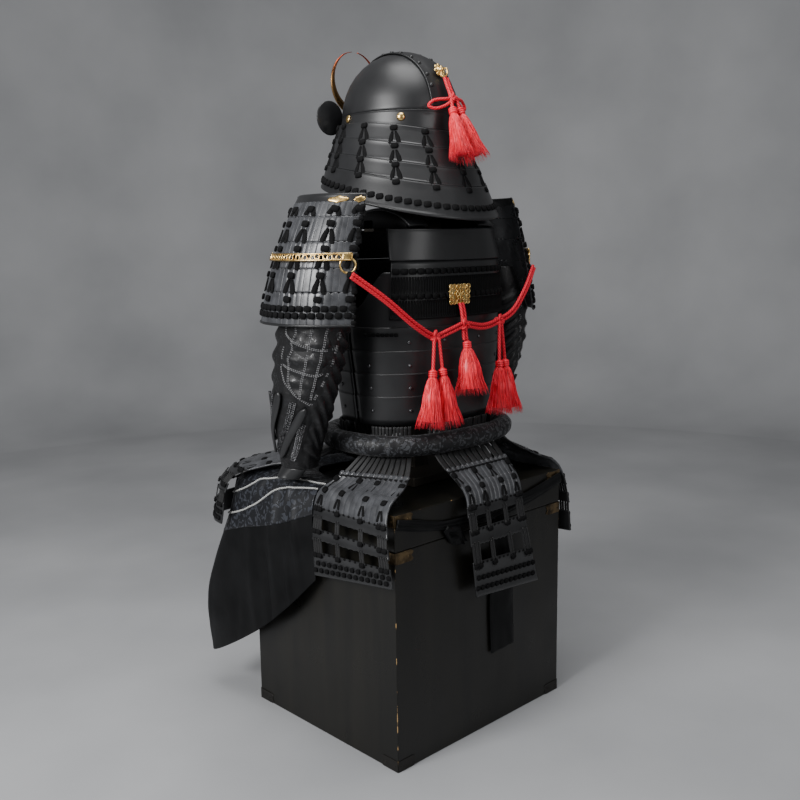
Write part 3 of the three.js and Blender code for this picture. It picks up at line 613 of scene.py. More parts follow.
def cut_plate(name, outline, thickness, place, across, up, material, edge=0.0003):
    """Sheet metal cut to an outline, with its back at place and its face out of across and up."""
    place, across, up = (np.asarray(v, float) for v in (place, unit(across), unit(up)))
    out = np.cross(across, up)
    outline = np.asarray(outline, float)
    middle = outline.mean(0)
    rings = [(outline, 0), (outline, thickness - edge),
             (middle + (outline - middle) * (1 - edge / 0.01), thickness)]
    points = np.concatenate([place + ring[:, :1] * across + ring[:, 1:] * up + h * out
                             for ring, h in rings])
    n = len(outline)
    faces = [(r * n + c, r * n + (c + 1) % n, (r + 1) * n + (c + 1) % n, (r + 1) * n + c)
             for r in range(2) for c in range(n)]
    faces += [tuple(range(n - 1, -1, -1)), tuple(range(2 * n, 3 * n))]
    return mesh_piece(name, points, faces, material, smooth=False)


def dome(sides=10, rows=3):
    """Points and faces of a low round dome of radius 1 and height 1."""
    points = [(math.cos(t) * math.cos(r), math.sin(t) * math.cos(r), math.sin(r))
              for r in np.linspace(0, math.pi / 2, rows + 1)[:-1]
              for t in np.linspace(0, 2 * math.pi, sides + 1)[:-1]]
    faces = [(r * sides + c, r * sides + (c + 1) % sides, (r + 1) * sides + (c + 1) % sides,
              (r + 1) * sides + c) for r in range(rows - 1) for c in range(sides)]
    faces += [((rows - 1) * sides + c, (rows - 1) * sides + (c + 1) % sides, rows * sides)
              for c in range(sides)]
    return [*points, (0, 0, 1)], [*faces, tuple(range(sides - 1, -1, -1))]


nail_head = pattern_piece("nail_head", *dome(8, 3))
leg = [(0, 0), (0.040, 0), (0.046, 0.004), (0.041, 0.011), (0.046, 0.018), (0.040, 0.022),
       (0, 0.022)]
for level, (foot, metal) in {"lid": (0.4776, aged_brass), "body": (0.4075, aged_brass),
                             "foot": (0.0004, dark_iron)}.items():
    plates, nails = [], []
    for sx in (1, -1):
        for sy in (1, -1):
            for corner, across in (((sx * 0.2438, sy * 0.2182), (-sx, 0, 0)),
                                   ((sx * 0.2442, sy * 0.2178), (0, -sy, 0))):
                out = (0, sy, 0) if across[0] else (sx, 0, 0)
                flip = np.cross(across, (0, 0, 1)).dot(out) < 0
                start = (*corner, foot) if not flip else (*corner, foot + 0.022)
                up = (0, 0, 1) if not flip else (0, 0, -1)
                plates.append(cut_plate(f"corner_{level}_{len(plates)}", leg, 0.0011,
                                        start, across, up, metal))
                for reach in (0.008, 0.032):
                    spot = np.array((*corner, foot + 0.011)) + np.array(across) * reach
                    nails.append((spot + np.array(out) * 0.001, facing(out, (0, 0, 1)),
                                  (0.0022, 0.0022, 0.0012)))
    copies = place_copies(f"corner_nails_{level}", nail_head, nails, metal)
    built(joined(f"corners_{level}", *plates, copies), "gold")

# ---- Stand ----
# A cross of timber carries the cuirass by its yoke, and a turned block on the post fills the helmet.
# It is screwed to the lid and shows only where the armour is open. Its near-black colour is painted
# shade: it stands in for the dark inside of the armour.
# Near-black painted shade, with the wood's grain on it.
stand_wood, tree, shader = finish("stand_wood", (0.02, 0.017, 0.014), 0.6)
place = node(tree, "ShaderNodeTexCoord").outputs["Object"]
grain = noise(tree, place, 60, 5, (1, 1, 0.06))
tree.links.new(ramp(tree, grain, [(0.3, (0.012, 0.010, 0.008)), (0.7, (0.035, 0.028, 0.02))]),
               shader.inputs["Base Color"])
bump(tree, shader, grain, 0.3, 0.0006)
built(bevelled("stand_cross", "stand_frame", 0.002, stand_wood), "stand_wood", "stand_frame")
head_profile = spline([(0, 0, 0), (0.044, 0, 0), (0.056, 0.040, 0), (0.056, 0.088, 0),
                       (0.042, 0.126, 0), (0.022, 0.145, 0), (0, 0.1495, 0)],
                      np.linspace(0, 1, 31))[:, :2]
head_profile = [(max(r, 0), h) for r, h in head_profile]
built(lathe("head_block", head_profile, np.array((-0.002, 0, 1.1904)), (0, 0, 1), stand_wood, 36),
      "stand_wood", "stand_head")

# ---- Cuirass ----
# Five black lacquered iron lames, each riveted over the next, go round the body in a back and a front
# half. A plain plate covers the shoulders, and below it hang rows of scales close-laced in black silk.
lacquer, tree, shader = finish("satin_lacquer", (0.013, 0.0133, 0.0142), 0.38)
place = node(tree, "ShaderNodeTexCoord").outputs["Object"]
tree.links.new(drift(tree, 7, 0.31, 0.43), shader.inputs["Roughness"])
tree.links.new(ramp(tree, noise(tree, place, 18, 4), [(0.3, (0.010, 0.0102, 0.011)),
                                                      (0.7, (0.017, 0.0174, 0.0185))]),
               shader.inputs["Base Color"])
bump(tree, shader, noise(tree, place, 420, 2), 0.05, 0.0003)

black_braid, tree, shader = finish("black_braid", (0.0025, 0.0025, 0.0027), 0.85,
                                   Specular_IOR_Level=0.15)
place = node(tree, "ShaderNodeTexCoord").outputs["Object"]
cells = node(tree, "ShaderNodeTexVoronoi", {"Vector": place, "Scale": 700.0})
# Colour follows the weave cells: lighter in their raised middles, darker in the grooves between them as
# painted shade.
tree.links.new(ramp(tree, cells.outputs["Distance"], [(0.1, (0.006, 0.006, 0.0065)),
                                                      (0.8, (0.0015, 0.0015, 0.0017))]),
               shader.inputs["Base Color"])
bump(tree, shader, cells.outputs["Distance"], 0.5, -0.0005)

steel, tree, shader = finish("rivet_steel", (0.09, 0.09, 0.095), 0.26, Metallic=0.9)
tree.links.new(drift(tree, 90, 0.2, 0.36), shader.inputs["Roughness"])

TORSO = np.array([(0.570, 0.158, 0.108, 0.022), (0.640, 0.164, 0.114, 0.024),
                  (0.720, 0.172, 0.120, 0.024), (0.800, 0.180, 0.126, 0.022),
                  (0.860, 0.180, 0.128, 0.020), (0.950, 0.172, 0.124, 0.022),
                  (1.012, 0.150, 0.112, 0.026)])
TORSO_MIDDLE = np.array((-0.012, 0.022, 0.8))


def torso(degrees, z, out=0.0):
    """A point on the body's surface: 0 degrees at the left side, 90 at the back."""
    a, b, y = (np.interp(z, TORSO[:, 0], TORSO[:, i]) for i in (1, 2, 3))
    c, s = np.cos(np.radians(degrees)), np.sin(np.radians(degrees))
    power = 2 / 2.7
    return np.stack(np.broadcast_arrays(-0.012 + (a + out) * np.sign(c) * np.abs(c) ** power,
                                        y + (b + out) * np.sign(s) * np.abs(s) ** power, z), -1)


def outward(grid, centre):
    """Unit normals of a grid of points, on the side away from centre."""
    normals = unit(np.cross(np.gradient(grid, axis=1), np.gradient(grid, axis=0)))
    return normals * (1 if (normals * (grid - centre)).sum() > 0 else -1)


def shell(name, grid, centre, thickness, material, relief=0.0, wrapped=False):
    """A closed wall on a grid of rows and columns. It grows out from the grid, plus its relief."""
    grid = np.asarray(grid, float)
    rows, columns, _ = grid.shape
    if wrapped:
        padded = np.concatenate([grid[:, -2:], grid, grid[:, :2]], 1)
        normals = outward(padded, centre)[:, 2:-2]
    else:
        normals = outward(grid, centre)
    outer = grid + normals * (thickness + np.asarray(relief, float))[..., None]
    steps = np.linalg.norm(np.diff(outer, axis=1), axis=-1).mean(0)
    drops = np.linalg.norm(np.diff(outer, axis=0), axis=-1).mean(1)
    u, v = (np.concatenate([[0], np.cumsum(d)]) for d in (steps, drops))
    uvs = np.stack(np.broadcast_arrays(u[None], -v[:, None]), -1)
    points = np.concatenate([outer.reshape(-1, 3), grid.reshape(-1, 3)])
    spans = columns if wrapped else columns - 1
    r, c = (k.ravel() for k in np.meshgrid(np.arange(rows - 1), np.arange(spans), indexing="ij"))
    n = (c + 1) % columns
    front = np.stack([r * columns + c, (r + 1) * columns + c, (r + 1) * columns + n,
                      r * columns + n], 1)
    size = rows * columns
    faces = np.concatenate([front, front[:, ::-1] + size])
    rims = []
    c = np.arange(spans)
    n = (c + 1) % columns
    foot = (rows - 1) * columns
    rims.append(np.stack([c, n, n + size, c + size], 1))
    rims.append(np.stack([foot + n, foot + c, foot + c + size, foot + n + size], 1))
    if not wrapped:
        r = np.arange(rows - 1) * columns
        rims.append(np.stack([r + columns, r, r + size, r + columns + size], 1))
        r = r + columns - 1
        rims.append(np.stack([r, r + columns, r + columns + size, r + size], 1))
    faces = np.concatenate([faces, *rims]).tolist()
    return mesh_piece(name, points, faces, material, np.concatenate([uvs.reshape(-1, 2)] * 2))


def beaded(heads, feet, bead, lap=0.0014, rise=0.0009):
    """Rows of a set of lames: where each lies, and how far it stands out, with a bead at its head."""
    rows = []
    for head, foot in zip(heads, feet):
        way = 1 if foot > head else -1
        length = abs(foot - head)
        rows += [(head, 0.0), (head + way * bead * 0.08, lap + rise * 0.4),
                 (head + way * bead * 0.5, lap + rise), (head + way * bead, lap + rise * 0.4),
                 (head + way * bead * 1.3, lap)]
        rows += [(head + way * (bead * 1.3 + (length - bead * 1.4) * t), lap * (1 - t))
                 for t in (0.25, 0.5, 0.75, 1)]
    return rows


def seated(surface, centre, u, v, lift=0.0, step=0.002):
    """A place on a surface: the point, and a turn that faces out with its second axis up."""
    spot = surface(u, v, lift)
    across = surface(u + step, v, lift) - surface(u - step, v, lift)
    down = surface(u, v + step, lift) - surface(u, v - step, lift)
    out = unit(np.cross(across, down))
    out = out if out.dot(spot - centre) > 0 else -out
    return spot, facing(out, -down)


def block_knot(wide, high, deep, corners=12):
    """Points and faces of a cushion-shaped knot with squared shoulders."""
    t = np.linspace(0, 2 * math.pi, corners + 1)[:-1]
    c, s = np.cos(t), np.sin(t)
    ring = np.stack([np.sign(c) * np.abs(c) ** 0.55, np.sign(s) * np.abs(s) ** 0.55], 1)
    rows = [(0.86, 0.0), (1.0, 0.45), (0.8, 0.85)]
    points = [(x * wide / 2 * k, y * high / 2 * k, h * deep) for k, h in rows for x, y in ring]
    n = corners
    faces = [(r * n + i, r * n + (i + 1) % n, (r + 1) * n + (i + 1) % n, (r + 1) * n + i)
             for r in range(2) for i in range(n)]
    faces += [(2 * n + i, 2 * n + (i + 1) % n, 3 * n) for i in range(n)]
    return [*points, (0, 0, deep)], [*faces, tuple(range(n - 1, -1, -1))]


def drops(*lines):
    """Points and faces of flat lacing: each line is a list of (x, y, width), 2 mm thick."""
    points, faces = [], []
    for line in lines:
        start = len(points)
        for x, y, width in line:
            points += [(x + width / 2 * math.cos(t), y, 0.0021 * max(0, math.sin(t)) ** 0.7)
                       for t in np.linspace(0, math.pi, 6)]
        n, rows = 6, len(line)
        faces += [tuple(start + i for i in (r * n + c, r * n + c + 1, (r + 1) * n + c + 1,
                                            (r + 1) * n + c))
                  for r in range(rows - 1) for c in range(n - 1)]
        faces += [tuple(start + i for i in ((r + 1) * n, r * n, r * n + n - 1,
                                            (r + 1) * n + n - 1)) for r in range(rows - 1)]
        faces += [tuple(start + i for i in range(n)),
                  tuple(start + (rows - 1) * n + i for i in range(n - 1, -1, -1))]
    return points, faces


knot_block = pattern_piece("knot_block", *block_knot(0.0135, 0.0105, 0.0042))
small_knot = pattern_piece("small_knot", *block_knot(0.0085, 0.007, 0.003, 10))
rivet_head = pattern_piece("rivet_head", *dome(12, 4))
lacing_rib = pattern_piece("lacing_rib", *drops([(0, 0.5, 0.0040), (0, 0.25, 0.0050),
                                                 (0, -0.25, 0.0050), (0, -0.5, 0.0040)]))
LEVELS = (0.872, 0.826, 0.781, 0.737, 0.692, 0.634)
for side, start in (("back", 0), ("front", 180)):
    degrees = np.linspace(start + 0.5, start + 179.5, 97)
    inward = np.minimum(degrees - start, 180 - degrees + start)
    t = np.clip((inward - 4) / 26, 0, 1)
    arm = 0.860 + 0.070 * t * t * (3 - 2 * t)
    rows = beaded(LEVELS[:-1], LEVELS[1:], 0.0034)
    grid, relief = [], []
    for z, out in rows:
        height = np.where(z > LEVELS[1], arm - (LEVELS[0] - z) * (arm - LEVELS[1])
                          / (LEVELS[0] - LEVELS[1]), z)
        grid.append(torso(degrees, height))
        relief.append(np.full(97, out))
    lames = shell(f"riveted_{side}", grid, TORSO_MIDDLE, 0.0022, lacquer, relief)
    rivets = []
    for row, level in enumerate(LEVELS[1:]):
        for angle in ((52, 80, 100, 128) if row == 0 else (14, 52, 128, 166)):
            if row < 4:
                spot, turn = seated(lambda u, v, w: torso(u, -v, w), TORSO_MIDDLE, start + angle,
                                    0.029 - level, 0.0030)
                rivets.append((spot, turn, (0.0037, 0.0037, 0.0026)))
    heads = place_copies(f"rivets_{side}", rivet_head, rivets, steel)
    side_knots = []
    for angle in (*range(13, 44, 4), *range(137, 168, 4)):
        side_knots.append((*seated(lambda u, v, w: torso(u, -v, w), TORSO_MIDDLE, start + angle,
                                   -0.812, 0.0030), 1))
    knots = place_copies(f"side_knots_{side}", small_knot, side_knots, black_braid)
    built(joined(f"cuirass_{side}", lames, heads, knots), "lacquer", f"{side}_lames")

    grid, relief = [], []
    for d in (0, 0.006, 0.03, 0.055, 0.08, *np.linspace(0.16, 0.93, 8), 0.97, 1):
        inset = 26 + 8 * d
        grid.append(torso(np.linspace(start + 0.5 + inset, start + 179.5 - inset, 61),
                          1.010 + (0.9514 - 1.010) * d, 0.008))
        across = np.zeros(61)
        across[[1, -2]] = 0.0007
        across[[0, -1]] = 0.0002
        relief.append(across + np.interp(d, (0, 0.006, 0.03, 0.055, 0.08), (0, 6e-4, 9e-4, 6e-4, 0)))
    built(shell(f"plain_plate_{side}", grid, TORSO_MIDDLE, 0.0024, lacquer, relief), "lacquer",
          f"{side}_plate")

    grid = [torso(np.linspace(start + 35.5, start + 144.5, 61), z, 0.006)
            for z in np.linspace(0.951, 0.841, 13)]
    backing = shell(f"laced_rows_{side}", grid, TORSO_MIDDLE, 0.0016, lacquer)
    lacing, ribs = [], []
    spots = np.linspace(start + 36.5, start + 143.5, 400)
    for level, pitch, rib in ((0.931, 0.0165, None), (0.884, 0.0165, None), (0.904, 0.0056, 0.034),
                              (0.860, 0.0056, 0.034)):
        line = torso(spots, level, 0.0078)
        far = np.concatenate([[0], np.cumsum(np.linalg.norm(np.diff(line, axis=0), axis=1))])
        for place in np.arange(pitch / 2, far[-1], pitch):
            angle = float(np.interp(place, far, spots))
            spot, turn = seated(lambda u, v, w: torso(u, -v, w), TORSO_MIDDLE, angle, -level,
                                0.0076)
            if rib:
                ribs.append((spot, turn, (1, rib, 1)))
            else:
                lacing.append((spot, turn, (1.12, 1.15, 1.25)))
    hem = rod(f"laced_hem_{side}", even(torso(np.linspace(start + 35.5, start + 144.5, 80), 0.8425,
                                              0.0085), 0.004), 0.0022, black_braid, 8)
    knots = place_copies(f"row_knots_{side}", knot_block, lacing, black_braid)
    cords = place_copies(f"row_ribs_{side}", lacing_rib, ribs, black_braid)
    built(joined(f"close_lacing_{side}", backing, hem, knots, cords), "laced", f"{side}_laced")

# ---- Shoulder straps ----
# Padded straps faced with lacquered leather go over the shoulders from the back plate to the front one.
for side, sign in (("left", 1), ("right", -1)):
    profile = spline([(0, 0.126, 1.014), (0, 0.096, 1.034), (0, 0.050, 1.046), (0, 0, 1.042),
                      (0, -0.046, 1.024), (0, -0.080, 1.014)], np.linspace(0, 1, 40))
    widths = np.array([-1, -0.97, -0.8, -0.4, 0, 0.4, 0.8, 0.97, 1]) * 0.024
    grid = profile[:, None] + np.stack([widths, 0 * widths, 0 * widths], 1)
    grid[..., 0] += -0.012 + sign * 0.096
    crown = 0.0008 - 0.0016 * (widths / 0.024) ** 4
    strap = shell(f"padded_strap_{side}", grid, (grid.mean((0, 1)) - (0, 0, 0.2)), 0.005, lacquer,
                  np.broadcast_to(crown, grid.shape[:2]))
    # Under each strap's arch a flat sheet of black silk closes the gap: a dark sheet as painted shade, where
    # only the dark inside of the armour shows.
    flat = grid[2:-2] * (1, 1, 0) + (0, 0, 1.0125)
    pad = shell(f"strap_pad_{side}", flat, flat.mean((0, 1)) - (0, 0, 0.2), 0.0005, black_braid,
                np.maximum(grid[2:-2, :, 2] - 1.0138, 0.0006))
    built(joined(f"shoulder_piece_{side}", strap, pad), "laced", f"shoulder_strap_{side}")

# ---- Helmet ----
# A smooth iron bowl with a broad middle plate riveted over it from brow to nape. Below its band hang
# the four curved lames of the neck guard, laced in spaced columns of black silk and knotted at the foot.
gold, tree, shader = finish("gilt_brass", (0.80, 0.55, 0.20), 0.26, Metallic=1.0)
tree.links.new(drift(tree, 60, 0.2, 0.36), shader.inputs["Roughness"])
place = node(tree, "ShaderNodeTexCoord").outputs["Object"]
tree.links.new(ramp(tree, noise(tree, place, 90, 4), [(0.3, (0.62, 0.38, 0.12)),
                                                      (0.6, (0.86, 0.62, 0.26))]),
               shader.inputs["Base Color"])
bump(tree, shader, noise(tree, place, 300, 2), 0.15, 0.0003)

HELMET_MIDDLE = np.array((0, -0.006, 1.2))
NECK_START, NECK_END = -48, 228


def bowl(degrees, climb, out=0.0):
    """A point on the bowl: climb is 0 at the rim and 90 at the crown."""
    c, s = np.cos(np.radians(degrees)), np.sin(np.radians(degrees))
    level, rise = np.cos(np.radians(climb)), np.sin(np.radians(climb))
    return np.stack(np.broadcast_arrays((0.105 + out) * level * c, -0.006 + (0.124 + out) * level * s,
                                        1.234 + (0.118 + out) * rise), -1)


def band(degrees, down, out=0.0):
    """A point on the band below the bowl, which is narrow at the brow and deep at the nape."""
    point = bowl(degrees, 0.0, out + 0.003 * down)
    share = 0.45 + 0.55 * ((point[..., 1] + 0.130) / 0.248) ** 3
    point[..., 2] = 1.2336 - 0.038 * share * down
    return point


def neck(degrees, drop, out=0.0):
    """A point on the neck guard: drop is 0 under the band and 1 at the foot."""
    head = band(degrees, 1.0, 0.004 + out)
    head[..., 2] -= 0.0004
    y = 0.017 + (0.184 + out) * np.sin(np.radians(degrees))
    foot = np.stack(np.broadcast_arrays((0.168 + out) * np.cos(np.radians(degrees)), y,
                                        1.024 + 0.235 * (0.201 - y)), -1)
    return head + (foot - head) * np.asarray(drop, float)[..., None]


around = np.linspace(0, 360, 97)[:-1]
climbs = [88, 80, 70, 60, 50, 40, 30, 20, 12, 5, 2.5, 0.8, 0]
rim_bead = [0, 0, 0, 0, 0, 0, 0, 0, 0, 0, 0.0007, 0.0009, 0]
dome_shell = shell("bowl", [bowl(around, c) for c in climbs], HELMET_MIDDLE, 0.0026, lacquer,
                   np.array(rim_bead)[:, None] + np.zeros(96), wrapped=True)
crown_cap = lathe("crown_cap", [(0, 0), (0.012, 0), (0.012, 0.003), (0.007, 0.0055), (0, 0.006)],
                  np.array((0, -0.006, 1.3515)), (0, 0, 1), lacquer)
runs = np.linspace(2, 178, 61)
across = np.array([-1, -0.985, -0.95, -0.9, -0.6, -0.3, 0, 0.3, 0.6, 0.9, 0.95, 0.985, 1])
grid = []
for run in runs:
    level, rise = math.cos(math.radians(run)), math.sin(math.radians(run))
    half = 0.034 * (1 if run < 90 else 1 - 0.2 * min(1, (run - 90) / 40))
    x = half * across
    squeeze = np.sqrt(np.maximum(1 - (x / 0.112) ** 2, 0))
    point = np.stack([x, -0.006 + 0.127 * level * squeeze,
                      1.234 + 0.1215 * rise * squeeze + 0 * x], -1)
    grid.append(point)
ridge = np.interp(np.abs(across), (0.9, 0.95, 0.985, 1), (0, 0.0006, 0.0006, 0))
middle_plate = shell("middle_plate", grid, HELMET_MIDDLE, 0.0018, lacquer,
                     np.broadcast_to(ridge, (61, 13)))
rivets = []
for run in (9, 22, 35, 48, 61, 74, 87, 100, 113, 126, 139, 152, 165):
    for share in (-0.78, 0.78):
        here = grid[int(np.abs(runs - run).argmin())]
        x = float(np.interp(share, across, here[:, 0]))
        y, z = (float(np.interp(share, across, here[:, i])) for i in (1, 2))
        spot = np.array((x, y, z))
        out = unit((x / 0.105 ** 2, (y + 0.006) / 0.124 ** 2, (z - 1.234) / 0.118 ** 2))
        rivets.append((spot + out * 0.0017, facing(out, (0, 0.3, 1)), (0.0042, 0.0042, 0.0032)))
helmet_rivets = place_copies("helmet_rivets", rivet_head, rivets, lacquer)
built(joined("helmet_bowl_finished", dome_shell, crown_cap), "lacquer", "helmet_bowl")
built(joined("helmet_ridge_plate", middle_plate, helmet_rivets), "lacquer", "helmet_plate")

span = np.linspace(NECK_START, NECK_END, 133)
downs = (0, 0.02, 0.05, 0.09, 0.2, 0.4, 0.6, 0.8, 0.92, 1)
band_shell = shell("band", [band(span, d, 0.0005) for d in downs], HELMET_MIDDLE, 0.0022, lacquer,
                   np.interp(downs, (0, 0.05, 0.09, 0.92, 1), (0.0002, 0.001, 0, 0, 0.0006))[:, None]
                   + np.zeros(133))
studs = [(*seated(band, HELMET_MIDDLE, angle, 0.45, 0.0026), (0.0085, 0.0085, 0.0042))
         for angle in (-18, 42, 138, 198)]
built(place_copies("band_studs", rivet_head, studs, gold), "gold")
built(band_shell, "lacquer", "helmet_band")
eaves = np.linspace(244, 296, 41)
grid = []
for out in (0, 0.1, 0.25, 0.5, 0.75, 0.93, 0.97, 1):
    row = bowl(eaves, 0.0, 0.002 + 0.042 * out)
    row[:, 2] = 1.230 - 0.014 * out
    grid.append(row)
built(shell("visor", grid, HELMET_MIDDLE - (0, 0, 0.4), 0.0022, lacquer,
            np.interp((0, 0.1, 0.25, 0.5, 0.75, 0.93, 0.97, 1), (0.9, 0.97, 1), (0, 8e-4, 0))[:, None]
            + np.zeros(41)), "lacquer", "helmet_visor")

trousers = pattern_piece("trousers", *drops(
    [(-0.0022, 0.0100, 0.0030), (-0.0030, 0.0060, 0.0052), (-0.0046, -0.0010, 0.0066),
     (-0.0058, -0.0080, 0.0066), (-0.0060, -0.0105, 0.0040)],
    [(0.0022, 0.0100, 0.0030), (0.0030, 0.0060, 0.0052), (0.0046, -0.0010, 0.0066),
     (0.0058, -0.0080, 0.0066), (0.0060, -0.0105, 0.0040)]))
NECK_LEVELS = (0, 0.21, 0.43, 0.63, 1)
COLUMNS = (-36, -18, 9, 36, 63, 90, 117, 144, 171, 198, 216)
for number in range(4):
    head, foot = NECK_LEVELS[number:number + 2]
    ts = (0, 0.01, 0.04, 0.09, 0.13, 0.3, 0.5, 0.7, 0.86, 0.9, 0.94, 0.975, 1)
    outs = np.interp(ts, (0, 0.01, 0.04, 0.09, 0.13, 0.86, 0.9, 0.94, 0.975, 1),
                     (0.0016, 0.0022, 0.0028, 0.0024, 0.002, 0.0006, 0.0006, 0.0014, 0.0014, 0.0002))
    grid = [neck(span, head + (foot - head) * t + (0.006 if number and t == 0 else 0)) for t in ts]
    relief = outs[:, None] + np.zeros(133)
    lame = shell(f"lame_{number + 1}", grid, HELMET_MIDDLE, 0.0022, lacquer, relief)
    knots, pairs = [], []
    for angle in COLUMNS:
        knots.append((*seated(neck, HELMET_MIDDLE, angle, head + 0.035, 0.0036),
                      (1.12, 1.1, 1.15)))
        if number < 3:
            pairs.append((*seated(neck, HELMET_MIDDLE, angle, foot - 0.062, 0.0030),
                          (1.4, 1.25, 1.1)))
    if number == 3:
        line = neck(np.linspace(NECK_START + 3, NECK_END - 3, 600), 0.865, 0.0026)
        far = np.concatenate([[0], np.cumsum(np.linalg.norm(np.diff(line, axis=0), axis=1))])
        for place in np.linspace(0, far[-1], round(far[-1] / 0.0185) + 1):
            angle = float(np.interp(place, far, np.linspace(NECK_START + 3, NECK_END - 3, 600)))
            knots.append((*seated(neck, HELMET_MIDDLE, angle, 0.865, 0.0026), (1.12, 1.2, 1.1)))
    parts = [lame, place_copies(f"neck_knots_{number}", knot_block, knots, black_braid)]
    if pairs:
        parts.append(place_copies(f"neck_pairs_{number}", trousers, pairs, black_braid))
    built(joined(f"neck_guard_{number + 1}", *parts), "lacquer", f"neck_lame_{number + 1}")

for side, sign in (("left", 1), ("right", -1)):
    profile = [(0, 0), (0.0325, 0), (0.034, 0.0006), (0.034, 0.0022), (0.0328, 0.003),
               (0.030, 0.0026), (0.012, 0.0024), (0, 0.0024)]
    disc = lathe(f"turnback_disc_{side}", profile, np.array((sign * 0.094, -0.1118, 1.235)),
                 (0, -1, 0), lacquer, 40)
    built(disc, "lacquer", f"turnback_{side}")

# ---- Crest ----
# A crescent cut from coppered brass sheet, thick below and thin at its tips, on a tang that slides
# into a holder over the brow. It is gilt at the foot and shades to red copper at the top.
crest_metal, tree, shader = finish("crest_metal", (0.5, 0.26, 0.10), 0.3, Metallic=1.0)
place = node(tree, "ShaderNodeTexCoord").outputs["Object"]
height = node(tree, "ShaderNodeSeparateXYZ", {"Vector": place}).outputs["Z"]
share = node(tree, "ShaderNodeMapRange", {"Value": height, "From Min": 1.25,
                                          "From Max": 1.375}).outputs["Result"]
tree.links.new(ramp(tree, share, [(0.0, (0.30, 0.19, 0.07)), (0.6, (0.34, 0.18, 0.07)),
                                  (0.9, (0.52, 0.10, 0.05))]), shader.inputs["Base Color"])
tree.links.new(drift(tree, 30, 0.22, 0.4), shader.inputs["Roughness"])
turns = np.radians(np.linspace(97, 443, 90))
outer = np.stack([0.065 * np.cos(turns), 0.065 * np.sin(turns)], 1)
inner = np.stack([0.056 * np.cos(turns), 0.008 + 0.056 * np.sin(turns)], 1)
grid = np.stack([inner, (inner * 2 + outer) / 3, (inner + 2 * outer) / 3, outer])
grid = np.stack([grid[..., 0], np.full(grid.shape[:2], -0.1402), 1.313 + grid[..., 1]], -1)
swell = np.array([0, 0.0008, 0.0008, 0])[:, None] + np.zeros(90)
crescent = shell("crescent", grid, np.array((0, 1.0, 1.3)), 0.0024, crest_metal, swell)
tang = cut_plate("tang", [(-0.009, 0), (0.009, 0), (0.008, 0.022), (-0.008, 0.022)], 0.0026,
                 (0, -0.1402, 1.2312), (-1, 0, 0), (0, 0, 1), crest_metal)
built(joined("crescent_crest", crescent, tang), "copper", "crest")

# ---- Helmet ring ----
# A gilt boss riveted to the back of the middle plate carries the ring that the bow is tied to.
turn = np.linspace(0, 2 * math.pi, 49)[:-1]
ring = rod("bow_ring", np.stack([0 * turn, 0.117 + 0.008 * np.cos(turn), 1.304 + 0.008 * np.sin(turn)],
                                1), 0.0018, gold, 10, closed=True)
boss = lathe("ring_boss", [(0, 0), (0.011, 0), (0.0115, 0.0015), (0.008, 0.0035), (0.0045, 0.0055),
                           (0.0045, 0.009), (0.003, 0.0105), (0, 0.011)],
             np.array((0, 0.1025, 1.3085)), (0, 0.93, 0.37), gold)
petals = [((0.0105 * math.cos(a), 0.104 + 0.0105 * math.sin(a) * -0.37, 1.309
            + 0.0105 * math.sin(a) * 0.93), facing((0, 0.93, 0.37), (0, 0, 1)),
           (0.0042, 0.0042, 0.003)) for a in np.linspace(0, 2 * math.pi, 9)[:-1]]
built(joined("helmet_ring_set", ring, boss, place_copies("boss_petals", rivet_head, petals, gold)),
      "gold", "helmet_ring")

# ---- Shoulder guards ----
# Each hangs over the upper arm: five rows of lacquered scales, laced in spaced columns of black silk,
# under a cap plate with gilt mounts. A pierced gilt bar lies across them and holds the cord's ring.
# The scales take a lighter copy of the black plate lacquer: the lighter base is painted highlight, standing
# in for the lamps' glint on them.
scales, tree, shader = finish("scale_lacquer_painted_highlight", (0.04, 0.041, 0.044), 0.28)
place = node(tree, "ShaderNodeTexCoord").outputs["Object"]
tree.links.new(ramp(tree, noise(tree, place, 45, 4), [(0.3, (0.030, 0.031, 0.034)),
                                                      (0.7, (0.068, 0.070, 0.076))]),
               shader.inputs["Base Color"])
tree.links.new(drift(tree, 40, 0.24, 0.4), shader.inputs["Roughness"])
bump(tree, shader, noise(tree, place, 120, 3), 0.12, 0.0006)


def guard(u, v, out=0.0):
    """A point on the left shoulder guard: u from front to rear, v from cap to foot."""
    v = np.asarray(v, float)
    swell = np.sin(np.maximum(v, 0) * math.pi / 2) ** 0.8
    x, y, z, b = (t + (f - t) * v for t, f in ((0.140, 0.158), (0.020, 0.003), (1.074, 0.838),
                                               (0.112, 0.156)))
    a = 0.108 + 0.063 * swell + out
    angle = np.radians(-66 + 122 * np.asarray(u, float))
    return np.stack(np.broadcast_arrays(x + a * np.cos(angle), y + (b + out) * np.sin(angle), z), -1)


def other_side(surface):
    """The same surface on the right of the armour."""
    return lambda u, v, out=0.0: surface(u, v, out) * (-1, 1, 1)


def scale_row(name, surface, centre, ends, heads, count, thickness, material, lift=0.0, ridge=0.0011):
    """A row of joined scales from ends[0] to ends[1] along u, with rounded heads and ridged faces."""
    inside = np.array((0.02, 0.14, 0.32, 0.5, 0.68, 0.86, 0.98))
    share = (np.arange(count)[:, None] + inside).ravel()
    u = ends[0] + (ends[1] - ends[0]) * share / count
    part = share % 1
    arch = np.sqrt(np.maximum(1 - (2 * part - 1) ** 2, 0))
    head, foot = heads
    top = head + (1 - arch) * 0.055 * abs(foot - head) * (1 if foot > head else -1)
    t = np.array((0, 0.02, 0.05, 0.12, 0.3, 0.55, 0.8, 0.93, 0.97, 1))[:, None]
    grid = surface(np.broadcast_to(u, (10, len(u))), top + (foot - top) * t, lift)
    relief = ridge * (0.35 + 0.65 * part) * arch ** 0.5 + 0.0012 * (1 - t)
    relief = relief * np.interp(t, (0, 0.03, 0.97, 1), (0.3, 1, 1, 0.6))
    return shell(name, grid, centre, thickness, material, relief)


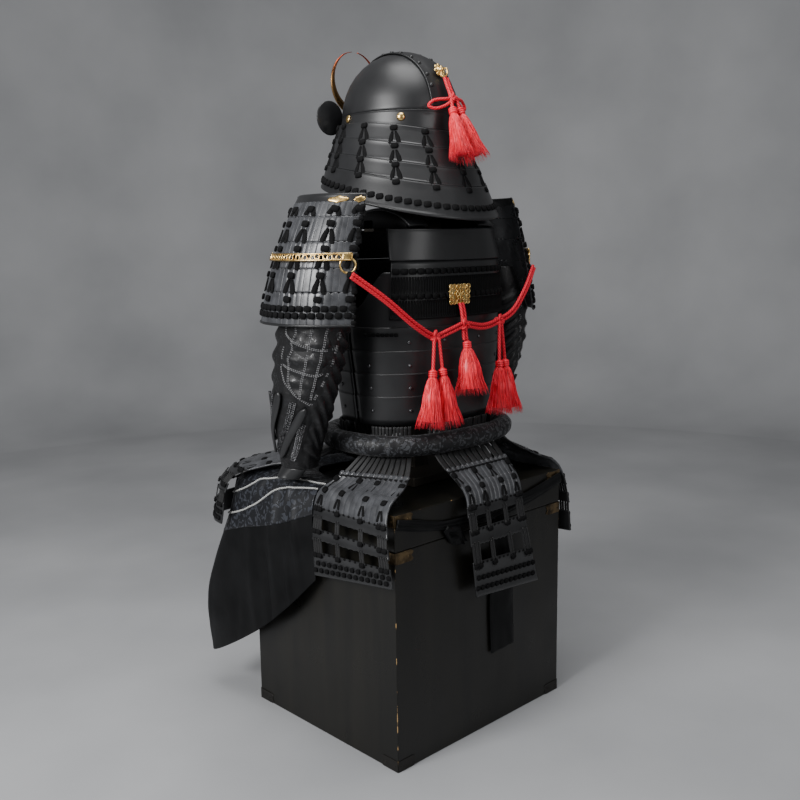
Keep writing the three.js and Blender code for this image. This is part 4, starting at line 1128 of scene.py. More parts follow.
GUARD_LEVELS = (0.06, 0.17, 0.36, 0.56, 0.74, 1.0)
GUARD_COLUMNS = (0.045, 0.235, 0.425, 0.615, 0.805, 0.972)
t = np.linspace(0, 2 * math.pi, 13)[:-1]
section = np.linspace(0, 2 * math.pi, 6)[:-1]
points = [((0.0048 + 0.0013 * math.cos(s)) * math.cos(a), (0.0048 + 0.0013 * math.cos(s))
           * math.sin(a), 0.0013 * math.sin(s)) for a in t for s in section]
faces = [(i * 5 + j, (i + 1) % 12 * 5 + j, (i + 1) % 12 * 5 + (j + 1) % 5, i * 5 + (j + 1) % 5)
         for i in range(12) for j in range(5)]
fret_ring = pattern_piece("fretwork_ring", points, faces)
for side, surface, sign in (("left", guard, 1), ("right", other_side(guard), -1)):
    centre = np.array((sign * 0.14, 0.0, 0.9))
    # The guard rows take the scale lacquer, whose lighter base is painted highlight.
    rows = [scale_row(f"guard_row_{side}_{i}", surface, centre, (0.004, 0.996),
                      GUARD_LEVELS[i:i + 2], 24, 0.0022, scales)
            for i in range(5)]
    knots, pairs, frets = [], [], []
    for i in range(5):
        head, foot = GUARD_LEVELS[i:i + 2]
        for u in GUARD_COLUMNS:
            knots.append((*seated(surface, centre, u, head + 0.055, 0.0050), (1.25, 1.2, 1.15)))
            if i < 4:
                pairs.append((*seated(surface, centre, u, foot - 0.045, 0.0046),
                              (1.55, 1.3 if i else 0.9, 1.1)))
    for v, shift in ((0.865, 0.5), (0.918, 0)):
        for k in range(21):
            u = 0.012 + 0.976 * (k + shift) / 20.5
            if u < 0.99:
                knots.append((*seated(surface, centre, u, v, 0.0038), (1.05, 1.12, 1.15)))
    for v in np.arange(0.10, 0.99, 0.046):
        for u in (0.008, 0.992):
            knots.append((*seated(surface, centre, u, v, 0.0036), (0.7, 0.8, 1)))
    rim = rod(f"guard_rim_{side}", even(surface(np.linspace(0.003, 0.997, 90), 0.993, 0.0032),
                                        0.004), 0.0024, lacquer, 8)
    built(joined(f"shoulder_guard_{side}", *rows, rim,
                 place_copies(f"guard_knots_{side}", knot_block, knots, black_braid),
                 place_copies(f"guard_pairs_{side}", trousers, pairs, black_braid)),
          "laced", f"guard_lames_{side}")

    heads = (0, 0.004, 0.012, 0.02, 0.05, 0.075, 0.085)
    cap = shell(f"guard_cap_plate_{side}", [surface(np.linspace(0, 1, 61), v, 0.0012) for v in heads],
                centre, 0.0024, lacquer,
                np.interp(heads, (0, 0.012, 0.02, 0.075, 0.085), (0, 0.0012, 0, 0, 0))[:, None]
                + np.zeros(61))
    built(cap, "lacquer", f"guard_cap_{side}")
    mounts = []
    for i, (start, end) in enumerate(((0.0, 0.13), (0.72, 0.88), (0.92, 1.0))):
        us = np.linspace(start, end, 17)
        half = 0.030 * np.interp(np.linspace(-1, 1, 17), (-1, -0.8, -0.4, 0, 0.4, 0.8, 1),
                                 (0.08, 0.5, 0.62, 1, 0.62, 0.5, 0.08))
        grid = [surface(us, 0.043 + half * k, 0.0038) for k in (-1, -0.6, 0, 0.6, 1)]
        mounts.append(shell(f"guard_mount_{side}_{i}", grid, centre, 0.0010, gold,
                            np.array([0, 5e-4, 8e-4, 5e-4, 0])[:, None] + np.zeros(17)))
    built(joined(f"guard_mounts_{side}", *mounts), "gold")

    bars = []
    for i, v in enumerate((0.4515, 0.4985)):
        line = even(surface(np.linspace(0.305, 0.965, 50), v, 0.0115), 0.003)
        bars.append(rod(f"bar_rail_{side}_{i}", line, 0.0016, gold, 8))
    for i, (start, end) in enumerate(((0.30, 0.345), (0.915, 0.97))):
        us = np.linspace(start, end, 9)
        grid = [surface(us, v, 0.0100) for v in (0.447, 0.46, 0.475, 0.49, 0.503)]
        bars.append(shell(f"bar_end_{side}_{i}", grid, centre, 0.0024, gold,
                          np.array([0, 4e-4, 6e-4, 4e-4, 0])[:, None] + np.zeros(9)))
    for k in range(23):
        u = 0.353 + 0.0247 * k
        frets.append((*seated(surface, centre, u, 0.475 + 0.004 * (-1) ** k, 0.0115),
                      (1, 1, 1)))
    bars.append(place_copies(f"bar_frets_{side}", fret_ring, frets, gold))
    middle = guard(0.95, 0.539, 0.008)
    c, s = math.cos(math.radians(50)), math.sin(math.radians(50))
    line = middle + 0.014 * (np.cos(turn)[:, None] * np.array((-s, c, 0))
                             + np.sin(turn)[:, None] * np.array((0, 0, 1)))
    bars.append(rod(f"guard_ring_{side}", line * (sign, 1, 1), 0.0019, gold, 10, closed=True))
    built(joined(f"pierced_bar_{side}", *bars), "gold", f"guard_bar_{side}")

# ---- Gold plaque ----
# Openwork of gilt wire rings round a small rosette, pinned over the laced rows to hold the cords.
grid_points = []
for i, x in enumerate(np.linspace(-0.017, 0.031, 6)):
    for j, z in enumerate(np.linspace(0.8705, 0.8995, 4)):
        if i in (0, 5) or j in (0, 3):
            grid_points.append(((x, 0.1605 + 0.0006 * (i + j) % 0.002, z), facing((0, 1, 0),
                                                                          (0, 0, 1)), 1))
for a in np.linspace(0, 2 * math.pi, 7)[:-1]:
    grid_points.append(((0.007 + 0.0075 * math.cos(a), 0.1625, 0.885 + 0.0068 * math.sin(a)),
                        facing((0, 1, 0.1), (0, 0, 1)), (0.85, 0.85, 1.1)))
rings = place_copies("plaque_rings", fret_ring, grid_points, gold)
xs, zs = np.meshgrid(np.linspace(-0.0205, 0.0345, 23), np.linspace(0.903, 0.867, 15))
swirls = 0.0011 * np.sin((xs - 0.007) * 520) * np.sin((zs - 0.885) * 560)
backing = shell("plaque_backing", np.stack([xs, 0.1594 + 0 * xs, zs], -1), np.array((0, 0, 0.885)),
                0.0012, gold, np.maximum(swirls, 0))
centre_boss = lathe("plaque_boss", [(0, 0), (0.004, 0), (0.0045, 0.001), (0.003, 0.003), (0, 0.0035)],
                    np.array((0.007, 0.1605, 0.885)), (0, 1, 0), gold)
built(joined("openwork_plaque", backing, rings, centre_boss), "gold", "back_plaque")

# ---- Sleeves ----
# Tubes of black figured brocade, puckered by their quilting. A pad over the upper arm is edged and
# crossed by beaded chain stitching, and lacquered splints with mail between them lie on the forearm.
def brocade_finish(name, ground, figure, scale, sheen, shine):
    """Brocade: scrolling leaves of one colour on a ground of another, in a fine diagonal weave."""
    material, tree, shader = finish(name, ground, 0.5, Sheen_Weight=sheen, Sheen_Roughness=0.35,
                                    Specular_IOR_Level=shine)
    if "brocade" not in bpy.data.node_groups:
        group = bpy.data.node_groups.new("brocade", "ShaderNodeTree")
        group.interface.new_socket("Scale", in_out="INPUT", socket_type="NodeSocketFloat")
        for label in ("Figure", "Weave"):
            group.interface.new_socket(label, in_out="OUTPUT", socket_type="NodeSocketFloat")
        given = node(group, "NodeGroupInput").outputs
        spot = node(group, "ShaderNodeTexCoord").outputs["Object"]
        sized = node(group, "ShaderNodeVectorMath", {0: spot, "Scale": given["Scale"]},
                     operation="SCALE").outputs[0]
        swirl = node(group, "ShaderNodeTexNoise", {"Vector": sized, "Scale": 1.1, "Detail": 2.0})
        bent = node(group, "ShaderNodeVectorMath", {0: swirl.outputs["Color"], 1: (1.5, 1.5, 1.5)},
                    operation="MULTIPLY").outputs[0]
        bent = node(group, "ShaderNodeVectorMath", {0: sized, 1: bent}, operation="ADD").outputs[0]
        cells = node(group, "ShaderNodeTexVoronoi", {"Vector": bent, "Scale": 1.0})
        leaf = math_node(group, "SINE", math_node(group, "MULTIPLY", cells.outputs["Distance"], 16.0))
        petals = node(group, "ShaderNodeTexVoronoi", {"Vector": bent, "Scale": 2.6},
                      feature="DISTANCE_TO_EDGE")
        veins = math_node(group, "GREATER_THAN", petals.outputs["Distance"], 0.09)
        mask = node(group, "ShaderNodeMapRange", {"Value": leaf, "From Min": -0.1, "From Max": 0.3})
        figure_mask = math_node(group, "MULTIPLY", mask.outputs["Result"], veins)
        twill = node(group, "ShaderNodeTexWave", {"Vector": spot, "Scale": 260.0},
                     bands_direction="DIAGONAL")
        node(group, "NodeGroupOutput", {"Figure": figure_mask, "Weave": twill.outputs["Fac"]})
    drawn = node(tree, "ShaderNodeGroup", {}, node_tree=bpy.data.node_groups["brocade"])
    drawn.inputs["Scale"].default_value = scale
    tree.links.new(ramp(tree, drawn.outputs["Figure"], [(0.1, ground), (0.8, figure)]),
                   shader.inputs["Base Color"])
    tree.links.new(ramp(tree, drawn.outputs["Figure"], [(0.1, 0.55), (0.8, 0.32)]),
                   shader.inputs["Roughness"])
    height = math_node(tree, "ADD", drawn.outputs["Figure"],
                       math_node(tree, "MULTIPLY", drawn.outputs["Weave"], 0.35))
    bump(tree, shader, height, 0.3, 0.0005)
    return material


sleeve_brocade = brocade_finish("sleeve_brocade", (0.004, 0.004, 0.0045), (0.010, 0.010, 0.0115), 42,
                                0.02, 0.4)
thread, tree, shader = finish("grey_thread", (0.16, 0.16, 0.165), 0.4, Specular_IOR_Level=0.7)
tree.links.new(drift(tree, 150, 0.3, 0.55), shader.inputs["Roughness"])
mail_steel, tree, shader = finish("mail_steel", (0.10, 0.10, 0.105), 0.3, Metallic=1.0)
tree.links.new(drift(tree, 130, 0.18, 0.4), shader.inputs["Roughness"])

SLEEVE = np.array([(0.930, 0.232, 0.020, 0.038, 0.064), (0.850, 0.256, 0.020, 0.056, 0.078),
                   (0.780, 0.264, 0.010, 0.058, 0.078), (0.710, 0.266, -0.004, 0.055, 0.072),
                   (0.640, 0.262, -0.022, 0.048, 0.061), (0.575, 0.250, -0.044, 0.038, 0.047),
                   (0.552, 0.245, -0.052, 0.035, 0.042)])[::-1]


def sleeve(degrees, z, out=0.0):
    """A point on the left sleeve: 0 degrees outside, 90 behind."""
    x, y, a, b = (np.interp(z, SLEEVE[:, 0], SLEEVE[:, i]) for i in (1, 2, 3, 4))
    t = np.radians(degrees)
    return np.stack(np.broadcast_arrays(x + (a + out) * np.cos(t), y + (b + out) * np.sin(t), z), -1)


FOLDS = [  # each from (degrees, height) to (degrees, height), with its half width and its rise
    (96, .872, 150, .846, .007, .006), (94, .846, 152, .812, .008, .008),
    (93, .820, 150, .778, .008, .009), (92, .795, 146, .745, .008, .009),
    (90, .770, 142, .712, .008, .008), (86, .748, 138, .682, .007, .008),
    (80, .726, 130, .652, .008, .008), (72, .706, 122, .628, .007, .007),
    (66, .684, 112, .606, .007, .006), (150, .880, 212, .862, .009, .006),
    (152, .838, 214, .812, .009, .007), (150, .792, 210, .770, .009, .008),
    (146, .752, 206, .735, .008, .008), (140, .708, 200, .700, .008, .007),
    (130, .660, 190, .664, .008, .006), (-32, .870, -96, .842, .011, .0045),
    (-28, .828, -98, .795, .012, .0055), (-26, .790, -92, .752, .012, .0055),
    (-28, .752, -90, .708, .011, .005), (-36, .712, -96, .664, .010, .0045),
    (-80, .640, -140, .618, .010, .004), (215, .905, 262, .850, .009, .006),
    (222, .850, 268, .800, .009, .007), (216, .795, 264, .742, .009, .008),
    (212, .740, 260, .690, .008, .007), (208, .690, 258, .640, .008, .006),
    (200, .640, 250, .596, .007, .005), (0, .812, 34, .800, .007, .0035),
    (46, .806, 84, .802, .007, .0035), (0, .780, 34, .772, .007, .0035),
    (46, .776, 82, .768, .007, .0035), (8, .738, 30, .730, .006, .003),
    (42, .732, 66, .722, .006, .003), (10, .835, 32, .846, .007, .003),
    (48, .842, 82, .836, .007, .003), (26, .712, 50, .704, .006, .0025),
    (60, .600, 120, .570, .005, .005), (-40, .596, 10, .566, .005, .004),
    (150, .600, 205, .572, .005, .005), (70, .640, 104, .588, .005, .004),
    (-110, .600, -60, .570, .005, .004), (20, .575, 60, .556, .004, .003)]
CHAIN_LINES = [
    [(95, .862), (95, .832), (92, .793), (86, .762), (74, .726), (58, .688)],
    [(-12, .862), (-9, .823), (-9, .786), (-9, .760), (8, .728), (34, .704), (58, .688)],
    [(40, .862), (40, .837), (40, .801), (39, .764), (36, .732), (37, .702)],
    [(-9, .822), (26, .803), (62, .793), (93, .796)],
    [(-10, .766), (32, .752), (60, .746), (82, .755)],
    [(66, .862), (66, .830), (64, .793), (60, .746), (56, .700)],
    [(14, .862), (14, .835), (12, .806), (10, .757), (16, .722)]]
bead = pattern_piece("chain_bead", *dome(6, 2))
for side, sign in (("left", 1), ("right", -1)):
    shift = np.array((0.0 if sign > 0 else 0.008, 0, 0))

    def arm(degrees, z, out=0.0):
        """A point on this side's sleeve."""
        return (sleeve(degrees, z, out) + shift) * (sign, 1, 1)

    degrees = np.linspace(0, 360, 169)[:-1]
    heights = np.linspace(0.931, 0.5522, 150)
    grid = arm(degrees[None], heights[:, None], -0.0035)
    relief = np.zeros(grid.shape[:2])
    for d0, z0, d1, z1, width, rise in FOLDS:
        turn_from = (degrees[None] - d0 + 180) % 360 - 180
        start, way = np.array((0, z0)), np.array(((d1 - d0) * 0.00115, z1 - z0))
        flat = np.stack(np.broadcast_arrays(turn_from * 0.00115, heights[:, None]), -1) - start
        share = np.clip((flat @ way) / (way @ way), 0, 1)
        gap = np.linalg.norm(flat - share[..., None] * way, axis=-1)
        relief += rise * np.exp(-(gap / width) ** 2) * np.sin(math.pi * (0.12 + 0.76 * share))
        relief -= 0.35 * rise * np.exp(-((gap - 1.9 * width) / width) ** 2)
    wave = np.sin(np.radians(degrees * 9)[None] + heights[:, None] * 60)
    relief += 0.0006 * wave * np.cos(np.radians(degrees * 4)[None] - heights[:, None] * 95)
    ends = np.interp(heights, (0.552, 0.56, 0.575, 0.915, 0.93), (0.0, 1, 1, 1, 0.2))[:, None]
    cloth = shell(f"brocade_sleeve_{side}", grid, np.array((sign * 0.256, -0.01, 0.75)), 0.0022,
                  sleeve_brocade, relief * ends, wrapped=True)

    def on_cloth(d, z, lift):
        """A point on the sleeve's puckered surface."""
        spot_row = np.interp(z, heights[::-1], np.arange(150)[::-1])
        row, column = int(round(float(spot_row))), int(round((d % 360) / 360 * 168)) % 168
        return arm(d, z, -0.0013 + float((relief * ends)[row, column]) + lift)

    stitches = []
    for line in CHAIN_LINES:
        route = spline([(d, z * 1000, 0) for d, z in line], np.linspace(0, 1, 300))
        spots = arm(route[:, 0], route[:, 1] / 1000)
        far = np.concatenate([[0], np.cumsum(np.linalg.norm(np.diff(spots, axis=0), axis=1))])
        for place in np.arange(0.001, far[-1], 0.0042):
            d, z = (float(np.interp(place, far, route[:, i])) for i in (0, 1))
            z /= 1000
            d2, z2 = (float(np.interp(place + 0.002, far, route[:, i])) for i in (0, 1))
            way = arm(d2, z2 / 1000) - arm(d, z)
            out = unit(arm(d, z, 0.01) - arm(d, z))
            across = unit(np.cross(way, out)) if np.linalg.norm(way) > 1e-6 else (0, 0, 1)
            for k in (-1, 1):
                stitches.append((on_cloth(d, z, 0.0002) + across * 0.0013 * k,
                                 facing(out, np.cross(out, across)), (0.0011, 0.0019, 0.0011)))
    chain = place_copies(f"chain_stitches_{side}", bead, stitches, thread)

    splints = []
    for i, (line, half) in enumerate((([(-2, .712), (-14, .670), (-38, .614), (-46, .580)], 0.0085),
                                      ([(48, .684), (35, .650), (14, .609), (-6, .574)], 0.0085),
                                      ([(-52, .706), (-66, .664), (-84, .612), (-92, .584)], 0.0080))):
        route = spline([(d, z * 1000, 0) for d, z in line], np.linspace(0, 1, 26))
        ks = np.array((-1, -0.9, -0.5, 0, 0.5, 0.9, 1))
        wide = half * np.sqrt(np.clip(1 - np.abs(np.linspace(-1, 1, 26)) ** 6, 0.02, 1))
        grid = np.array([[arm(d + math.degrees(k * w / 0.055), z / 1000 - 0.15 * k * w, 0.0030)
                          for k in ks] for (d, z, _), w in zip(route, wide)])
        crown = np.array([0, 0.0010, 0.0022, 0.0028, 0.0022, 0.0010, 0])
        splints.append(shell(f"splint_{side}_{i}", grid, np.array((sign * 0.25, -0.03, 0.64)), 0.002,
                             lacquer, np.broadcast_to(crown, (26, 7))))
    links = []
    for line in ([(26, .693), (18, .652), (2, .614), (-14, .586)], [(46, .650), (38, .604), (28, .572)],
                 [(-26, .706), (-38, .660), (-60, .604)]):
        route = spline([(d, z * 1000, 0) for d, z in line], np.linspace(0, 1, 200))
        spots = arm(route[:, 0], route[:, 1] / 1000)
        far = np.concatenate([[0], np.cumsum(np.linalg.norm(np.diff(spots, axis=0), axis=1))])
        for k in (-1, 0, 1):
            for place in np.arange(0.0022 * (k % 2), far[-1], 0.0044):
                d, z = (float(np.interp(place, far, route[:, i])) for i in (0, 1))
                spot = arm(d + 3.9 * k, z / 1000, 0.0035)
                out = unit(arm(d + 3.9 * k, z / 1000, 0.02) - spot)
                lean = facing(out + np.array((0, 0, 0.5 * (1 if k else -1))), (0, 0, 1))
                links.append((spot, lean, 0.55))
    mail = place_copies(f"mail_{side}", fret_ring, links, mail_steel)
    built(cloth, "brocade", f"sleeve_{side}")
    built(joined(f"sleeve_armour_{side}", *splints, mail), "lacquer")
    built(chain, "brocade")

    grid = []
    for v in np.linspace(0, 1, 12):
        t = np.radians(np.linspace(-70, 70, 25))
        grid.append(np.stack([0.245 + (0.031 + 0.010 * v) * np.cos(t),
                              -0.052 - 0.012 * v + (0.036 - 0.008 * v) * np.sin(t),
                              0.5516 - 0.022 * v + 0 * t], -1))
    grid = (np.array(grid) + shift) * (sign, 1, 1)
    built(shell(f"hand_plate_{side}", grid, np.array((sign * 0.245, -0.06, 0.54)), 0.0024, lacquer,
                np.interp(np.linspace(0, 1, 12), (0, 0.8, 0.9, 1), (0, 0, 8e-4, 0))[:, None]
                + np.zeros(25)), "lacquer", f"hand_guard_{side}")

# ---- Waist roll ----
# A tube of figured brocade, tightly stuffed and sewn to the foot of the cuirass, keeps the skirt's
# straps off the body. Its seam runs underneath, and the cloth puckers round it.
roll_brocade = brocade_finish("roll_brocade", (0.005, 0.005, 0.006), (0.045, 0.047, 0.052), 38, 0.08, 0.35)
around = np.linspace(0, 360, 361)[:-1]
line = torso(around, 0.598, 0.028)
away = unit((line - (-0.012, 0.022, 0.598)) * (1, 1, 0))
turns = np.linspace(0, 2 * math.pi, 29)[:-1]
pucker = (0.0008 * np.sin(np.radians(around * 23)) * np.cos(np.radians(around * 7))
          + 0.0007 * np.sin(np.radians(around * 41) + 1.3)
          + 0.0009 * np.sin(np.radians(around * 5) + 0.7))
points = np.array([line + away * ((0.0206 + pucker * (0.6 + 0.4 * math.sin(3 * t + 1)))
                                  * math.cos(t))[:, None]
                   + np.stack([0 * around, 0 * around, (0.0206 + pucker * (0.6 + 0.4 * math.cos(
                       2 * t))) * math.sin(t)], -1) for t in turns])
faces = [(r * 360 + c, r * 360 + (c + 1) % 360, (r + 1) % 28 * 360 + (c + 1) % 360,
          (r + 1) % 28 * 360 + c) for r in range(28) for c in range(360)]
roll_piece = built(mesh_piece("padded_roll", points.reshape(-1, 3), faces, roll_brocade), "brocade",
                   "waist_roll")

# ---- Skirt ----
# Six panels hang from the foot of the cuirass on flat braided straps. Each has two rows of ridged
# scales and three plain plates below them, joined by paired straps that leave open gaps.
strap_braid, tree, shader = finish("strap_braid", (0.008, 0.008, 0.0085), 0.6, Sheen_Weight=0.08,
                                   Sheen_Roughness=0.4)
spots = node(tree, "ShaderNodeTexCoord").outputs["UV"]
ribs = node(tree, "ShaderNodeTexWave", {"Vector": spots, "Scale": 150.0}, bands_direction="Y")
# Colour follows the ribs: lighter on their crowns, darker in the grooves between them as painted shade.
tree.links.new(ramp(tree, ribs.outputs["Fac"], [(0.2, (0.004, 0.004, 0.0045)),
                                                (0.8, (0.014, 0.014, 0.015))]),
               shader.inputs["Base Color"])
bump(tree, shader, ribs.outputs["Fac"], 0.4, 0.0004)

PANELS = {
    "back_left": (52, 12, 0.0,
                  [(.122, .140, .572), (.182, .188, .538), (.250, .212, .509), (.267, .226, .452),
                   (.268, .238, .374)],
                  [(.196, .060, .572), (.228, .040, .538), (.252, .014, .509), (.266, .012, .452),
                   (.266, .014, .345)]),
    "back_middle": (116, 68, 0.0,
                    [(-.096, .166, .572), (-.098, .196, .540), (-.096, .226, .507),
                     (-.092, .240, .452), (-.140, .240, .286)],
                    [(.084, .166, .572), (.076, .196, .540), (.068, .226, .507),
                     (.072, .240, .452), (.050, .240, .300)]),
    "back_right": (168, 128, 0.0,
                   [(-.224, .060, .572), (-.236, .038, .538), (-.252, .014, .509),
                    (-.266, .012, .452), (-.266, .008, .345)],
                   [(-.150, .140, .572), (-.194, .186, .538), (-.250, .208, .509),
                    (-.266, .222, .452), (-.266, .232, .362)]),
    "front_left": (-12, -52, 0.034,
                   [(.188, -.028, .570), (.206, -.086, .545), (.248, -.156, .532),
                    (.292, -.226, .498), (.304, -.250, .402)],
                   [(.122, -.094, .572), (.134, -.165, .552), (.150, -.252, .534),
                    (.172, -.318, .500), (.188, -.350, .396)]),
    "front_middle": (-68, -112, 0.0,
                     [(.070, -.122, .572), (.072, -.160, .548), (.074, -.240, .526),
                      (.076, -.290, .452), (.078, -.304, .350)],
                     [(-.098, -.122, .572), (-.100, -.160, .548), (-.102, -.240, .526),
                      (-.104, -.290, .452), (-.106, -.304, .350)]),
    "front_right": (-128, -168, 0.034,
                    [(-.150, -.094, .572), (-.160, -.165, .552), (-.172, -.252, .534),
                     (-.188, -.318, .500), (-.200, -.350, .396)],
                    [(-.206, -.028, .570), (-.216, -.086, .545), (-.254, -.156, .532),
                     (-.292, -.226, .498), (-.304, -.250, .402)]),
}
PLATE_ROWS = ((0.748, 0.806), (0.850, 0.890), (0.925, 1.0))
STRAP_COLUMNS = (0.045, 0.105, 0.345, 0.655, 0.895, 0.955)
for name, (start, end, bow, rear, front) in PANELS.items():
    def panel(u, v, out=0.0):
        """A point on this panel: u from its rear edge to its front one, v from the waist down."""
        u, v, out = np.broadcast_arrays(*(np.asarray(n, float) for n in (u, v, out)))
        lines = []
        for degrees, edge in ((start, rear), (end, front)):
            lines.append(spline([*torso(degrees, np.array((0.632, 0.598)), 0.005), *edge],
                                v.ravel()).reshape(*v.shape, 3))
        straight = lines[0] + (lines[1] - lines[0]) * u[..., None]
        high = straight[..., 2] > 0.577
        hugging = torso(start + (end - start) * u, straight[..., 2], 0.005 + out)
        away = unit(straight * (1, 1, 0))
        t = np.clip((v - 0.35) / 0.4, 0, 1)
        share = 4 * u * (1 - u) * t * t * (3 - 2 * t)
        lean = unit(away * np.clip((v - 0.3) * 3, 0.15, 1)[..., None] + (0, 0, 0.35))
        return np.where(high[..., None], hugging,
                        straight + away * (bow * share)[..., None] + lean * out[..., None])

    centre = np.array((0.0, 0.0, 0.30)) if "middle" not in name else np.array(
        (0.0, 0.05 if "back" in name else -0.05, 0.30))
    parts = []
    for i in range(11):
        u = (i + np.array((0.10, 0.16, 0.34, 0.5, 0.66, 0.84, 0.90))) / 11
        v = np.linspace(0.0, 0.456, 30)[:, None]
        ripple = 0.0012 * math.sin(i * 2.1) * np.sin(v * 14 + i)
        grid = panel(np.broadcast_to(u, (30, 7)), np.broadcast_to(v, (30, 7)), ripple)
        cord_relief = np.array([0, 0.0008, 0.0003, 0.0009, 0.0003, 0.0008, 0])
        parts.append(shell(f"strap_{name}_{i}", grid, centre, 0.0018, strap_braid,
                           np.broadcast_to(cord_relief, (30, 7))))
    straps = joined(f"skirt_straps_{name}", *parts)

    # The scale rows and the strap heads take the scale lacquer, whose lighter base is painted highlight.
    lames = [scale_row(f"scales_{name}_{i}", panel, centre, (0.006, 0.994), span_, 14, 0.0022, scales,
                       lift, 0.0020)
             for i, (span_, lift) in enumerate((((0.448, 0.604), 0.0016), ((0.588, 0.752), 0.0006)))]
    u = np.linspace(0, 1, 61)
    for i, (head, foot) in enumerate(PLATE_ROWS):
        t = np.array((0, 0.04, 0.1, 0.18, 0.5, 0.82, 0.9, 0.96, 1))[:, None]
        wave = 0.0028 * np.abs(np.sin(u * 14 * math.pi))
        top, low = head + 0.0 * u, foot - (wave if i < 2 else 0 * u)
        grid = panel(np.broadcast_to(u, (9, 61)), top + (low - top) * t, 0.0008)
        edge = np.interp(t, (0, 0.04, 0.1, 0.18, 0.82, 0.9, 0.96, 1),
                         (2e-4, 9e-4, 11e-4, 0, 0, 11e-4, 9e-4, 2e-4)) + np.zeros(61)
        lames.append(shell(f"plate_{name}_{i}", grid, centre, 0.0022, lacquer, edge))
    band_grid = panel(np.broadcast_to(u, (5, 61)), np.linspace(0.470, 0.490, 5)[:, None], 0.0040)
    band_rows = np.array([0, 0.0008, 0.0010, 0.0008, 0])[:, None] + 0.0004 * np.sin(
        u * 60 * math.pi)
    lames.append(shell(f"band_{name}", band_grid, centre, 0.0016, black_braid, band_rows))

    heads, knots, pairs, bars = [], [], [], []
    for i in range(13):
        u = 0.03 + 0.94 * i / 12
        heads.append((*seated(panel, centre, u, 0.459, 0.0042), (0.0052, 0.0058, 0.0034)))
    for i, (low, high) in enumerate(((0.505, 0.60), (0.628, 0.745))):
        for k, u in enumerate((0.07, 0.355, 0.645, 0.93)):
            shift = 0.03 if (k + i) % 2 else -0.012
            knots.append((*seated(panel, centre, u + shift, low + 0.006, 0.0046),
                          (1.0, 1.25, 1.1)))
            pairs.append((*seated(panel, centre, u + shift, high - 0.040, 0.0042), (0.95, 0.95, 1)))
    for (_, above), (below, _) in zip(((0, 0.745), *PLATE_ROWS), PLATE_ROWS):
        for u in STRAP_COLUMNS:
            spot, turn_to = seated(panel, centre, u, (above + below) / 2 + 0.006, 0.0030)
            reach = np.linalg.norm(panel(u, below + 0.014) - panel(u, above - 0.012))
            for shift in (-0.0031, 0.0031):
                bars.append((spot + turn_to[0] * shift, turn_to, (1.05, reach, 1.2)))
        for u in (0.045, 0.105, 0.345, 0.655, 0.895, 0.955):
            knots.append((*seated(panel, centre, u, below + 0.010, 0.0036), (1.0, 1.0, 1.25)))
        for u in np.linspace(0.02, 0.98, 15):
            knots.append((*seated(panel, centre, u, below + 0.004, 0.0026), (0.42, 0.45, 0.7)))
    for row, v in enumerate((0.960, 0.982)):
        for k in range(13):
            u = 0.03 + 0.94 * (k + 0.5 * row) / 12.5
            if u < 0.985:
                knots.append((*seated(panel, centre, u, v, 0.0028), (0.82, 0.9, 1.1)))
    plates = joined(f"skirt_lames_{name}", *lames,
                    place_copies(f"strap_heads_{name}", rivet_head, heads, scales),
                    place_copies(f"skirt_knots_{name}", knot_block, knots, black_braid),
                    place_copies(f"skirt_pairs_{name}", trousers, pairs, black_braid),
                    place_copies(f"skirt_bars_{name}", lacing_rib, bars, strap_braid))
    built(straps, "laced", f"skirt_{name}")
    built(plates, "laced", f"skirt_{name}")

# ---- Apron ----
# Two halves of cloth cover the thighs: figured blue-black brocade above, edged by two rows of twisted
# black-and-white piping, and plain black satin below. They lie on the lid and fall over its edge.
apron_brocade = brocade_finish("apron_brocade", (0.004, 0.0045, 0.0065), (0.034, 0.037, 0.045), 30, 0.05, 0.3)
satin, tree, shader = finish("black_satin", (0.004, 0.0041, 0.0045), 0.5, Specular_IOR_Level=0.12)
place = node(tree, "ShaderNodeTexCoord").outputs["Object"]
tree.links.new(drift(tree, 12, 0.42, 0.6), shader.inputs["Roughness"])
tree.links.new(ramp(tree, noise(tree, place, 16, 4), [(0.3, (0.0028, 0.0029, 0.0032)),
                                                      (0.7, (0.0065, 0.0067, 0.0072))]),
               shader.inputs["Base Color"])
creases = noise(tree, place, 28, 3, (1, 1, 0.4))
weave = noise(tree, place, 900, 1)
bump(tree, shader, math_node(tree, "ADD", creases, math_node(tree, "MULTIPLY", weave, 0.06)), 0.35,
     0.002)
piping_cord, tree, shader = finish("piping_cord", (0.4, 0.4, 0.4), 0.55)
lay = node(tree, "ShaderNodeTexCoord").outputs["UV"]
twist = node(tree, "ShaderNodeTexWave", {"Vector": lay, "Scale": 1.4}, bands_direction="DIAGONAL")
tree.links.new(ramp(tree, twist.outputs["Fac"], [(0.42, (0.02, 0.02, 0.022)),
                                                 (0.5, (0.62, 0.62, 0.60))]),
               shader.inputs["Base Color"])
bump(tree, shader, twist.outputs["Fac"], 0.4, 0.0005)

APRON = np.array([
    [(.172, .002, .508), (.168, -.060, .510), (.150, -.112, .512), (.118, -.136, .512),
     (.080, -.140, .510), (.014, -.142, .508)],
    [(.236, .002, .512), (.238, -.060, .516), (.234, -.130, .518), (.206, -.206, .520),
     (.130, -.206, .518), (.014, -.206, .512)],
    [(.254, .004, .496), (.262, -.060, .498), (.266, -.140, .502), (.240, -.258, .498),
     (.140, -.244, .500), (.014, -.236, .494)],
    [(.262, .006, .466), (.280, -.060, .446), (.286, -.150, .428), (.252, -.294, .408),
     (.150, -.276, .430), (.016, -.246, .440)],
    [(.262, .008, .400), (.282, -.060, .356), (.290, -.156, .306), (.272, -.352, .240),
     (.155, -.304, .300), (.018, -.248, .340)],
    [(.260, .008, .332), (.278, -.062, .262), (.286, -.160, .186), (.270, -.354, .084),
     (.160, -.304, .180), (.020, -.248, .250)],
])
APRON_MIDDLE = np.array((0.0, 0.0, 0.20))


